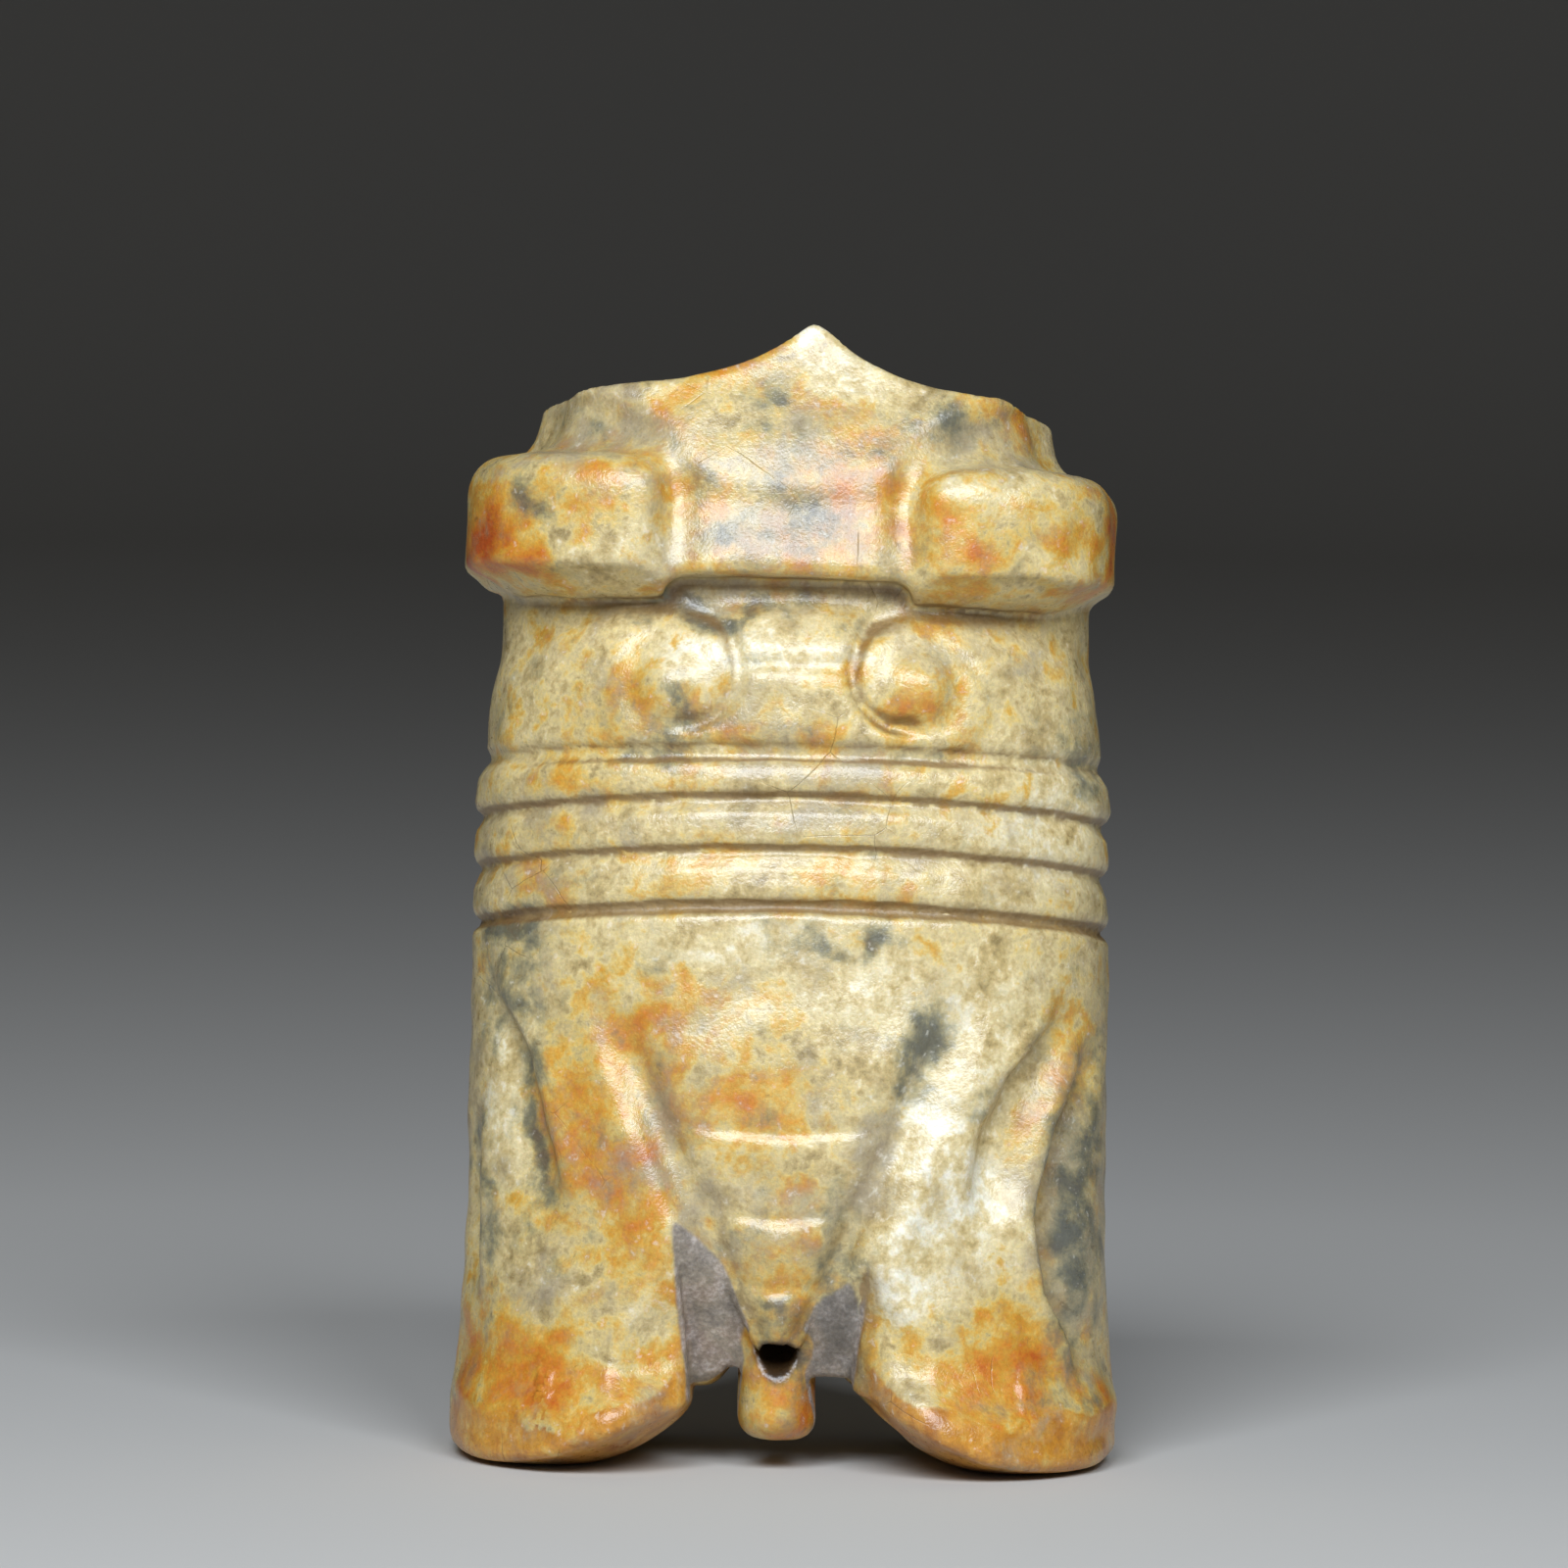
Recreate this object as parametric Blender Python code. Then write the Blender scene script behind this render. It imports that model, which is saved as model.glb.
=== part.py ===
"""A jade cicada pendant, carved from one stone and standing on its wing tips, back towards -Y.

The form is worked out as a carver would: a D-section blank, then head, eyes, collar, ribs, abdomen and wings
are cut into it. Each cut is a function of named sizes. Negative values of the field are inside the stone.
Metres, +Z up. The carved back of the insect faces -Y, and its plain belly faces +Y. "Across" is measured
from the middle line, and a turn is an angle round the stone from the middle of its carved back.
"""

import math

import bpy
import numpy as np

# The whole piece
HEIGHT = 0.0350
LEAN = math.radians(5.5)
TAIL_OFFSET = -0.0002
CUT_OFFSET = -0.0004
CRISP = 0.0002
SOFT = 0.0004

# The blank: half width, depth in front of the widest line and depth behind it
BODY_HALF_WIDTH = 0.00995
BODY_FRONT = 0.0064
BODY_BACK = 0.0050
FRONT_SQUARENESS = 2.25
BACK_SQUARENESS = 3.2
FACE_TURNS = (math.radians(86), math.radians(109))
WING_SPREAD = 0.00045
WING_SPREAD_FROM = 0.0080

# The head, with a raised middle panel between two scoops
HEAD_OFFSET = -0.00025
HEAD_TILT = math.radians(0.9)
HEAD_SHIFT = math.radians(1.8)
HEAD_BOTTOM = 0.0270
HEAD_INSET = 0.00075
HEAD_NARROWING = ((0.0270, 0.0), (0.0332, 0.0013))
HEAD_FRONT = 0.0065
HEAD_SLOPE = ((0.0270, 0.0), (0.0295, 0.0005), (0.0350, 0.0023))
HEAD_BACK = 0.0046
HEAD_SQUARENESS = 3.2
SNOUT_OFFSET = 0.0004
SNOUT_RISE = 0.0022
SNOUT_REACH_LEFT = 0.0022
SNOUT_REACH_RIGHT = 0.0020
SNOUT_ROUND = 0.00015
SNOUT_CURVE = 1.12
SNOUT_FADE = (0.0004, 0.0075)
SNOUT_FADED = 0.8
CREST_FALL_BACK = 0.11
PANEL_HALF_WIDTHS = ((0.0270, 0.0034), (0.0298, 0.0034), (0.0317, 0.0047), (0.0331, 0.0074))
SCOOP_DEPTH = 0.00060
SCOOP_FILLET = 0.0011
SCOOP_ENDS = 0.0020

# The eyes: two rounded tablets that wrap the corners of the head
EYE_BOTTOM_GAP = 0.0002
EYE_HEIGHT = 0.0035
EYE_RIGHT_LOWER = 0.0001
EYE_PROUD = 0.00095
EYE_FRONT_PROUD = 0.0004
EYE_BACK = 0.0034
EYE_SQUARENESS = 3.4
EYE_BACK_SQUARENESS = 2.6
EYE_INNER = 0.0039
EYE_CORNER = 0.0014
EYE_FILLET = 0.0009
EYE_UNDERCUT = 0.50
EYE_UNDERCUT_REACH = 0.0018

# The collar, with a bevelled top, and the neck groove above it
COLLAR_TOP = 0.0258
COLLAR_BOTTOM = 0.0215
COLLAR_INSET = 0.00035
COLLAR_TAPER = 0.00035
COLLAR_TURN_IN = 0.0006
COLLAR_BEVEL = 0.0014
COLLAR_BEVEL_SLOPE = math.radians(27)
COLLAR_STEP = 0.0243
COLLAR_STEP_DEPTH = 0.00014
COLLAR_STEP_ENDS = (0.0012, 0.0019)
COLLAR_FOOT_DEPTH = 0.00016
COLLAR_FOOT_WIDTH = 0.00028
NECK_NARROWER = 0.0004
NECK_DEPTH = 0.0012
NECK_BACK_DEPTH = 0.0006
NECK_SLOPE = math.radians(52)

# The collar's two scrolls: a boss in a moat, and a groove that curls in under it
SCROLL_ACROSS = 0.0039
SCROLL_HEIGHT = 0.0236
LEFT_SCROLL_SHARE = 0.75
BOSS_RADIUS = 0.00115
BOSS_RISE = 0.00040
BOSS_ROUND = 1.4
MOAT_RADIUS = 0.0014
MOAT_DEPTH = 0.00008
CURL = ((110, 0.0024), (172, 0.0021), (190, 0.0019), (214, 0.0016), (250, 0.0012))
CURL_DEPTH = 0.00028
CURL_ENDS = (250, 290)
CURL_START = 80
LOBE = ((-100, 0.0020), (-60, 0.0024), (-19, 0.0028), (25, 0.0019), (60, 0.0018))
LOBE_FADE = 20
LOBE_DEPTH = 0.00008
SCROLL_LINE = 0.00028

# The three ribs: each rises towards its lower edge and drops into a groove
RIB_GROOVES = (0.0202, 0.0186, 0.0169)
RIB_PITCH = 0.0016
RIB_PROFILE = ((0.0, 1.0), (0.14, 0.25), (0.30, 0.0), (0.70, 0.40), (0.80, 0.90))
RIB_BANK = 0.0003
RIB_SINK = 0.00018
RIB_SAG = 0.00050
RIB_SAG_BY = math.radians(86)
RIB_TURNS = (math.radians(121), math.radians(140))
GROOVE_DEPTH = 0.00015
GROOVE_WIDTH = 0.00022

# The abdomen, a V between the wings
V_TIP = 0.0033
V_TIP_HALF_WIDTH = 0.00065
V_SLOPE = 0.442
V_TOP = 0.0148
V_TOP_FADE = 0.0030
V_GROOVE_DEPTH = 0.00032
V_GROOVE_WIDTH = 0.00065
ABDOMEN_RISE = 0.00022
ABDOMEN_EDGE = 0.0009
ABDOMEN_DROP = 0.0008
ABDOMEN_DROP_HEIGHTS = (0.0020, 0.0110)
ABDOMEN_DROP_TURNS = (math.radians(11.5), math.radians(19.6))
SEGMENTS = (0.0102, 0.0076, 0.0054)
SEGMENT_DEPTH = 0.00009
SEGMENT_WIDTH = 0.00020
SEGMENT_SWELL = 0.0006
SEGMENT_SAG = 0.0003
KNOBS = ((0.00645, 0.0011, 0.00022), (0.00455, 0.0005, 0.00014))

# The wings, with rolled inner edges and long flutes
FLARE_FROM = 0.0075
FLARE_REACH = 0.0016
FLARE_TURNS = tuple(math.radians(angle) for angle in (9, 20, 63, 86))
ROLL_RISE = 0.00028
ROLL_WIDTH = 0.0010
ROLL_AWAY = 0.0013
ROLL_HEIGHTS = (0.0080, 0.0145)
FLUTE_DEPTH = 0.00058
FLUTE_WIDTH = 0.00075
FLUTE_FADE = 0.0013
FLUTE_END = 0.0014
RIDGE_SHARE = 0.45
RIDGE_AWAY = 0.0012
RIDGE_WIDTH = 0.0007
# Each flute: how deep, then its (turn in degrees, height) from its top to its foot
FLUTES = (
    (0.85, (-65, 0.0142), (-55, 0.0123), (-50, 0.0100), (-46, 0.0080)),
    (1.00, (56, 0.0136), (45, 0.0118), (39, 0.0099), (37, 0.0080)),
    (1.35, (66, 0.0122), (58, 0.0105), (52, 0.0074), (54, 0.0052), (62, 0.0036)),
    (0.80, (-74, 0.0098), (-72, 0.0055)),
)

# The wing tips: an inner bevel, a raised lip and a convex underside with a small flat where it stands
BEVEL_WIDTHS = ((0.0026, 0.0026), (0.0038, 0.0020), (0.0048, 0.0013), (0.0062, 0.0007), (0.0074, 0.0004))
BEVEL_SLOPE = 0.75
BEVEL_CURVE = 1.25
BEVEL_END = 0.0012
BEVEL_BLEND = 0.0006
LIP_OUTER = 0.0009
LIP_INNER_LEFT = 0.0034
LIP_INNER_RIGHT = 0.0040
LIP_CURVE_LEFT = 1.9
LIP_CURVE_RIGHT = 4.0
LIP_ROUND = 0.00035
LIP_REACH = 0.0058
FOOT_ACROSS = 0.0067
FOOT_INNER_REACH = 0.0040
FOOT_INNER_RISE = 0.0020
FOOT_OUTER_REACH = 0.0034
FOOT_OUTER_RISE = 0.0004
FOOT_FRONT = -0.0016
FOOT_FLAT = 0.00015
BELLY_ARCH = 0.0036
UNDERSIDE_SLOPE = math.radians(32)
FLAT_WITHIN = 0.00003

# The saw cuts that free the abdomen's tip, the arch behind it, the tail and the drilled hole
CUT_TOP_LEFT = 0.0072
CUT_TOP_RIGHT = 0.0063
CUT_HALF_WIDTHS = ((0.0010, 0.0024), (0.0075, 0.0030))
CUT_DEPTH_PER_FALL = 0.55
ARCH_TOP = 0.0022
TAIL_HALF_WIDTH = 0.0012
TAIL_FRONT = 0.0050
TAIL_BACK = 0.0012
TAIL_TOP = 0.0060
TAIL_BOTTOM = 0.0006
TAIL_ROUND = 0.0008
HOLE_RADIUS = 0.0006
HOLE_HEIGHT = 0.0032
HOLE_RISE = math.radians(38)

# The mesh
CELLS = (0.00024, 0.00024, 0.00018)
MARGIN = 0.0015
TRIANGLES = 9400


def ramp(value, start, end):
    """0 at start and 1 at end, with a smooth rise between."""
    t = np.clip((value - start) / (end - start), 0.0, 1.0)
    return t * t * (3.0 - 2.0 * t)


def through(value, stations):
    """Passes through (place, amount) stations, flat at each."""
    amount = stations[0][1]
    for (place, low), (next_place, high) in zip(stations, stations[1:]):
        amount = amount + (high - low) * ramp(value, place, next_place)
    return amount


def straight(value, stations):
    """Passes straight from one (place, amount) station to the next."""
    places, amounts = zip(*sorted(stations))
    return np.interp(value, places, amounts)


def mound(distance, width):
    """1 at the middle of a line, falling to nothing at a few widths."""
    return np.exp(-((distance / width) ** 2))


def join(a, b, fillet):
    """Adds two forms, with a fillet where they meet."""
    t = np.clip(0.5 + 0.5 * (b - a) / fillet, 0.0, 1.0)
    return b + (a - b) * t - fillet * t * (1.0 - t)


def common(a, b, rounding):
    """What two forms share, with its edge rounded."""
    return -join(-a, -b, rounding)


def cut(a, b, rounding):
    """The first form without the second."""
    return common(a, -b, rounding)


def section(x, y, half_width, front, back, front_squareness, back_squareness):
    """A D-section: about the distance from its wall."""
    depth = np.where(y < 0, front, back)
    power = np.where(y < 0, front_squareness, back_squareness)
    share = (np.abs(x / half_width) ** power + np.abs(y / depth) ** power) ** (1.0 / power)
    share = np.maximum(share, 0.05)
    return np.hypot(x, y) * (1.0 - 1.0 / share)


def turn_of(x, y):
    """The turn of a point, negative to the left."""
    return np.arctan2(x / BODY_HALF_WIDTH, -y / BODY_FRONT)


def rib_relief(turn, z):
    """The three ribs, which sag a little at the sides and fade out on the plain belly."""
    above = RIB_GROOVES[0] + RIB_PITCH
    z = z + RIB_SAG * ramp(np.abs(turn), 0.0, RIB_SAG_BY) * ramp(z, above + RIB_PITCH, RIB_GROOVES[0])
    sunk = [(RIB_GROOVES[-1] - RIB_BANK, 0.0), (above, 1.0), (above + RIB_BANK, 0.0)]
    for groove in RIB_GROOVES:
        sunk += [(groove + share * RIB_PITCH, amount) for share, amount in RIB_PROFILE]
    relief = -RIB_SINK * straight(z, sunk)
    for groove in RIB_GROOVES:
        relief = relief - GROOVE_DEPTH * mound(z - groove, GROOVE_WIDTH)
    return relief * (1.0 - ramp(np.abs(turn), *RIB_TURNS))


def scroll_relief(u, z):
    """A boss in a moat, a groove that curls in under it, and a faint lobe on its outer side."""
    side = np.abs(u) - SCROLL_ACROSS
    up = z - SCROLL_HEIGHT
    radius = np.hypot(side, up)
    angle = np.degrees(np.arctan2(up, side))
    boss = BOSS_RISE * np.clip(1.0 - (radius / BOSS_RADIUS) ** 2, 0.0, 1.0) ** BOSS_ROUND
    moat = MOAT_DEPTH * mound(radius - MOAT_RADIUS, SCROLL_LINE)
    inward = np.where(angle < 0.0, angle + 360.0, angle)
    curl = CURL_DEPTH * mound(radius - straight(inward, CURL), SCROLL_LINE)
    curl = curl * ramp(inward, CURL_START, CURL[0][0]) * (1.0 - ramp(inward, *CURL_ENDS))
    lobe = LOBE_DEPTH * mound(radius - straight(angle, LOBE), SCROLL_LINE)
    first, last = LOBE[0][0], LOBE[-1][0]
    lobe = lobe * ramp(angle, first - LOBE_FADE, first) * (1.0 - ramp(angle, last, last + LOBE_FADE))
    return (boss - moat - curl - lobe) * np.where(u < 0, LEFT_SCROLL_SHARE, 1.0)


def collar_relief(u, z):
    """The collar's step across the middle, its sunk lower edge, and the scrolls at the sides."""
    middle = 1.0 - ramp(np.abs(u), *COLLAR_STEP_ENDS)
    step = COLLAR_STEP_DEPTH * middle * mound(z - COLLAR_STEP, SCROLL_LINE)
    foot = COLLAR_FOOT_DEPTH * mound(z - COLLAR_BOTTOM, COLLAR_FOOT_WIDTH)
    return scroll_relief(u, z) - step - foot


def v_half_width(z):
    return V_TIP_HALF_WIDTH + V_SLOPE * (z - V_TIP)


def abdomen_relief(x, z):
    """The V of the abdomen with its segments and knobs, and the rolled inner edges of the wings beside it."""
    across = x - TAIL_OFFSET
    away = (np.abs(across) - v_half_width(z)) * math.cos(math.atan(V_SLOPE))
    inside = 1.0 - ramp(away, -ABDOMEN_EDGE, 0.0)
    groove = V_GROOVE_DEPTH * mound(away, V_GROOVE_WIDTH)
    raised = ABDOMEN_RISE * inside
    sagged = z + SEGMENT_SAG * np.clip(1.0 - np.abs(across) / np.maximum(v_half_width(z), SOFT), 0.0, 1.0)
    for line in SEGMENTS:
        lifted = mound(sagged - line + SEGMENT_SWELL, SEGMENT_SWELL) - mound(sagged - line, SEGMENT_WIDTH)
        raised = raised + SEGMENT_DEPTH * inside * lifted
    for height, radius, rise in KNOBS:
        raised = raised + rise * mound(np.hypot(across, z - height), radius)
    below_top = 1.0 - ramp(z, V_TOP - V_TOP_FADE, V_TOP)
    roll = ROLL_RISE * mound(away - ROLL_AWAY, ROLL_WIDTH) * (1.0 - ramp(z, *ROLL_HEIGHTS))
    return (raised - groove) * below_top + roll


def flute(turn, z, points):
    """A flute down a line of points: a ridge and a steep side inwards, a fading one outwards."""
    heights = [height for _, height in reversed(points)]
    line = np.interp(z, heights, [math.radians(angle) for angle, _ in reversed(points)])
    outward = BODY_HALF_WIDTH * (turn - line) * math.copysign(1.0, points[0][0])
    profile = np.where(outward < 0, mound(outward, FLUTE_WIDTH), mound(outward, FLUTE_FADE))
    profile = profile - RIDGE_SHARE * mound(outward + RIDGE_AWAY, RIDGE_WIDTH)
    foot = ramp(z, heights[0] - FLUTE_END, heights[0] + FLUTE_END)
    top = 1.0 - ramp(z, heights[-1] - FLUTE_END, heights[-1] + FLUTE_END)
    return profile * foot * top


def wing_relief(turn, z):
    """The long flutes down the wings."""
    relief = np.zeros_like(z)
    for share, *points in FLUTES:
        relief = relief - FLUTE_DEPTH * share * flute(turn, z, points)
    return relief


def cut_half_width(z):
    """Half the distance between the two wings' inner edges."""
    return through(z, CUT_HALF_WIDTHS)


def cut_top(x):
    return np.where(x < TAIL_OFFSET, CUT_TOP_LEFT, CUT_TOP_RIGHT)


def bevel_relief(x, z):
    """The wings' inner edges turn down towards the saw cuts, wider and deeper near the tips."""
    from_edge = np.abs(x - CUT_OFFSET) - cut_half_width(z)
    width = straight(z, BEVEL_WIDTHS)
    slope = np.clip(1.0 - from_edge / width, 0.0, 1.0)
    on_wing = ramp(from_edge, -BEVEL_BLEND, 0.0)
    return -BEVEL_SLOPE * width * slope**BEVEL_CURVE * on_wing * ramp(cut_top(x) - z, 0.0, BEVEL_END)


def body(x, y, z):
    """Everything below the neck, before the wing tips are shaped."""
    turn = turn_of(x, y)
    away = np.abs(turn)
    spread = WING_SPREAD * (1.0 - ramp(z, 0.0, WING_SPREAD_FROM))
    inset = COLLAR_INSET * ramp(z, COLLAR_BOTTOM - COLLAR_TURN_IN, COLLAR_BOTTOM + COLLAR_TURN_IN)
    taper = COLLAR_TAPER * ramp(z, COLLAR_BOTTOM, COLLAR_TOP)
    half_width = BODY_HALF_WIDTH + spread - inset - taper
    drop = (1.0 - ramp(z, *ABDOMEN_DROP_HEIGHTS)) * (1.0 - ramp(away, *ABDOMEN_DROP_TURNS))
    flare = np.clip(1.0 - z / FLARE_FROM, 0.0, 1.0) ** 2
    flare = flare * ramp(away, *FLARE_TURNS[:2]) * (1.0 - ramp(away, *FLARE_TURNS[2:]))
    front = BODY_FRONT - ABDOMEN_DROP * drop + FLARE_REACH * flare
    wall = section(x, y, half_width, front, BODY_BACK, FRONT_SQUARENESS, BACK_SQUARENESS)
    u = BODY_HALF_WIDTH * turn
    carved = collar_relief(u, z) + abdomen_relief(x, z) + wing_relief(turn, z) + bevel_relief(x, z)
    relief = rib_relief(turn, z) + carved * (1.0 - ramp(away, *FACE_TURNS))
    form = wall
    for start, slope in ((COLLAR_TOP - COLLAR_BEVEL, COLLAR_BEVEL_SLOPE), (COLLAR_TOP, NECK_SLOPE)):
        inwards = COLLAR_BEVEL * math.tan(COLLAR_BEVEL_SLOPE) if start == COLLAR_TOP else 0.0
        plane = (z - start) * math.sin(slope) + (wall + inwards) * math.cos(slope)
        form = common(form, plane, SOFT)
    return form - relief


def neck(x, y, z):
    half_width = BODY_HALF_WIDTH - COLLAR_INSET - NECK_NARROWER
    front = BODY_FRONT - NECK_DEPTH
    wall = section(x, y, half_width, front, BODY_BACK - NECK_BACK_DEPTH, FRONT_SQUARENESS, BACK_SQUARENESS)
    return np.maximum(wall, np.maximum(z - HEAD_BOTTOM - EYE_HEIGHT, COLLAR_BOTTOM - z))


def crest_height(x, y):
    """The top of the head: a pointed snout between concave shoulders, fading into a slope at the back."""
    reach = np.hypot(x - SNOUT_OFFSET, SNOUT_ROUND) - SNOUT_ROUND
    reach = reach / np.where(x < SNOUT_OFFSET, SNOUT_REACH_LEFT, SNOUT_REACH_RIGHT)
    front = HEAD_FRONT - HEAD_SLOPE[-1][1]
    snout = SNOUT_RISE * np.exp(-(reach**SNOUT_CURVE))
    behind = np.maximum(y + front, 0.0)
    fade = 1.0 - SNOUT_FADED * ramp(behind, *SNOUT_FADE)
    return HEIGHT - SNOUT_RISE + snout * fade - CREST_FALL_BACK * behind


def scoop_relief(x, y, z):
    """The head is hollowed above and beside the eyes, outside its raised middle panel."""
    outside = ramp(np.abs(x) - straight(z, PANEL_HALF_WIDTHS), -SCOOP_FILLET, SCOOP_FILLET)
    return -SCOOP_DEPTH * outside * ramp(-y, 0.0, SCOOP_ENDS)


def head(x, y, z):
    half_width = BODY_HALF_WIDTH - HEAD_INSET - through(z, HEAD_NARROWING)
    front = HEAD_FRONT - through(z, HEAD_SLOPE)
    wall = section(x, y, half_width, front, HEAD_BACK, HEAD_SQUARENESS, BACK_SQUARENESS)
    wall = wall - scoop_relief(x, y, z)
    form = common(wall, z - crest_height(x, y), CRISP)
    return common(form, HEAD_BOTTOM - z, SOFT)


def eyes(x, y, z):
    half_width = BODY_HALF_WIDTH - HEAD_INSET + EYE_PROUD
    front = HEAD_FRONT + EYE_FRONT_PROUD
    wall = section(x, y, half_width, front, EYE_BACK, EYE_SQUARENESS, EYE_BACK_SQUARENESS)
    inner = EYE_INNER - np.abs(x)
    eye_bottom = HEAD_BOTTOM + EYE_BOTTOM_GAP
    top = z - eye_bottom - EYE_HEIGHT + EYE_RIGHT_LOWER * (x > 0)
    bottom = eye_bottom - EYE_UNDERCUT * np.clip(-wall, 0.0, EYE_UNDERCUT_REACH) - z
    side = common(common(wall, inner, EYE_CORNER), top, EYE_CORNER)
    return common(side, bottom, CRISP)


def underside(x, y):
    """Height of the underside of a wing tip: convex, lowest at the foot, highest at the front lip."""
    across = np.abs(x)
    inward = FOOT_INNER_RISE * (np.maximum(FOOT_ACROSS - across, 0.0) / FOOT_INNER_REACH) ** 2
    outward = FOOT_OUTER_RISE * (np.maximum(across - FOOT_ACROSS, 0.0) / FOOT_OUTER_REACH) ** 2
    foot = np.minimum(inward + outward, FOOT_INNER_RISE + BELLY_ARCH * ramp(y, -TAIL_FRONT, -TAIL_BACK))
    innermost = CUT_HALF_WIDTHS[0][1]
    inwards = np.clip((BODY_HALF_WIDTH - across) / (BODY_HALF_WIDTH - innermost), 0.0, 1.0)
    lip_left = (LIP_INNER_LEFT - LIP_OUTER) * inwards**LIP_CURVE_LEFT
    lip_right = (LIP_INNER_RIGHT - LIP_OUTER) * inwards**LIP_CURVE_RIGHT
    lip = LIP_OUTER + np.where(x < 0, lip_left, lip_right)
    forward = np.clip((FOOT_FRONT - y) / LIP_REACH, 0.0, 2.0)
    return foot + np.maximum(lip - foot, 0.0) * forward**2


def saw_cuts(x, y, z):
    """Two slots between the wings and the abdomen's tip, deeper as they come down."""
    below_tip = ramp(V_TIP - z, 0.0, SOFT)
    v_side = v_half_width(z) - np.abs(x - TAIL_OFFSET) - (V_TIP_HALF_WIDTH + TAIL_HALF_WIDTH) * below_tip
    floor = y + BODY_FRONT - CUT_DEPTH_PER_FALL * (cut_top(x) - z)
    slot = np.maximum(np.abs(x - CUT_OFFSET) - cut_half_width(z), v_side)
    return common(slot, floor * math.cos(math.atan(CUT_DEPTH_PER_FALL)), CRISP)


def arch(x, z):
    """The open space between the two wing tips, under the belly."""
    return np.maximum(np.abs(x - CUT_OFFSET) - CUT_HALF_WIDTHS[0][1], z - ARCH_TOP)


def tail(x, y, z):
    """The blunt tail below the abdomen's tip."""
    middle = 0.5 * (TAIL_FRONT + TAIL_BACK)
    depth = (y + middle) / (0.5 * (TAIL_FRONT - TAIL_BACK))
    wall = (np.hypot((x - TAIL_OFFSET) / TAIL_HALF_WIDTH, depth) - 1.0) * TAIL_HALF_WIDTH
    return common(common(wall, TAIL_BOTTOM - z, TAIL_ROUND), z - TAIL_TOP, CRISP)


def hole(x, y, z):
    """The drilled hole, rising from under the abdomen's tip to the belly."""
    up = (z - HOLE_HEIGHT) - (y + TAIL_FRONT) * math.tan(HOLE_RISE)
    return np.hypot(x - TAIL_OFFSET, up * math.cos(HOLE_RISE)) - HOLE_RADIUS


def stone(x, y, z, floor_side):
    """The whole carving, upright. floor_side trims the wing tips only."""
    form = body(x, y, z)
    form = cut(form, saw_cuts(x, y, z), CRISP)
    form = cut(form, arch(x, z), SOFT)
    form = common(form, floor_side, LIP_ROUND)
    form = join(form, tail(x, y, z), CRISP)
    form = join(form, neck(x, y, z), CRISP)
    head_x = x - HEAD_OFFSET - math.tan(HEAD_SHIFT) * (z - HEAD_BOTTOM)
    head_z = z + math.tan(HEAD_TILT) * head_x
    form = join(form, join(head(head_x, y, head_z), eyes(head_x, y, head_z), EYE_FILLET), CRISP)
    return cut(form, hole(x, y, z), 0.5 * CRISP)


def standing(x, y, z):
    """The carving leaning back on its wing tips, which are ground flat where they touch."""
    upright_y = y * math.cos(LEAN) - z * math.sin(LEAN)
    upright_z = y * math.sin(LEAN) + z * math.cos(LEAN)
    floor_side = (underside(x, y) - FOOT_FLAT - z) * math.cos(UNDERSIDE_SLOPE)
    return common(stone(x, upright_y, upright_z, floor_side), -z, 0.5 * CRISP)


def without_diagonals(value, least):
    """Fills grid squares whose solid corners touch only across a diagonal: the surface never meets itself."""
    value = value.copy()
    while True:
        found = 0
        for first, second in ((0, 1), (1, 2), (2, 0)):
            view = np.moveaxis(value, (first, second), (0, 1))
            squares = (view[:-1, :-1], view[1:, 1:], view[1:, :-1], view[:-1, 1:])
            solid = [square < 0 for square in squares]
            crossed = (solid[0] == solid[1]) & (solid[2] == solid[3]) & (solid[0] != solid[2])
            found += np.count_nonzero(crossed)
            for square in squares:
                square[crossed] = np.minimum(square[crossed], -least)
        if not found:
            return value


def surface_net(field, low, high, cells):
    """Points and quads on the zero surface of a field, with one point in each grid cell that it crosses."""
    axes = [np.arange(start, end + cell, cell) for start, end, cell in zip(low, high, cells)]
    value = without_diagonals(field(*np.meshgrid(*axes, indexing="ij")), 0.02 * min(cells))
    solid = value < 0
    shape = np.array(value.shape)
    sums = np.zeros((4, value.size))
    quads = []
    for axis in range(3):
        ahead = np.roll(np.arange(3), -axis)
        start = [slice(None)] * 3
        end = [slice(None)] * 3
        start[axis] = slice(None, -1)
        end[axis] = slice(1, None)
        crossing = np.argwhere(solid[tuple(start)] != solid[tuple(end)])
        here = value[tuple(crossing.T)]
        step = np.zeros(3, int)
        step[axis] = 1
        there = value[tuple((crossing + step).T)]
        point = crossing * np.array(cells) + np.array([a[0] for a in axes])
        point[:, axis] += cells[axis] * here / (here - there)
        corners = []
        for back in ((0, 0), (1, 0), (1, 1), (0, 1)):
            cell_at = crossing.copy()
            cell_at[:, ahead[1]] -= back[0]
            cell_at[:, ahead[2]] -= back[1]
            number = np.ravel_multi_index(tuple(cell_at.T), shape)
            corners.append(number)
            for k in range(3):
                sums[k] += np.bincount(number, point[:, k], value.size)
            sums[3] += np.bincount(number, minlength=value.size)
        quad = np.stack(corners, 1)
        quads.append(np.where((here < 0)[:, None], quad, quad[:, ::-1]))
    quads = np.concatenate(quads)
    used, quads = np.unique(quads, return_inverse=True)
    points = (sums[:3, used] / sums[3, used]).T
    return points, quads.reshape(-1, 4)


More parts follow.
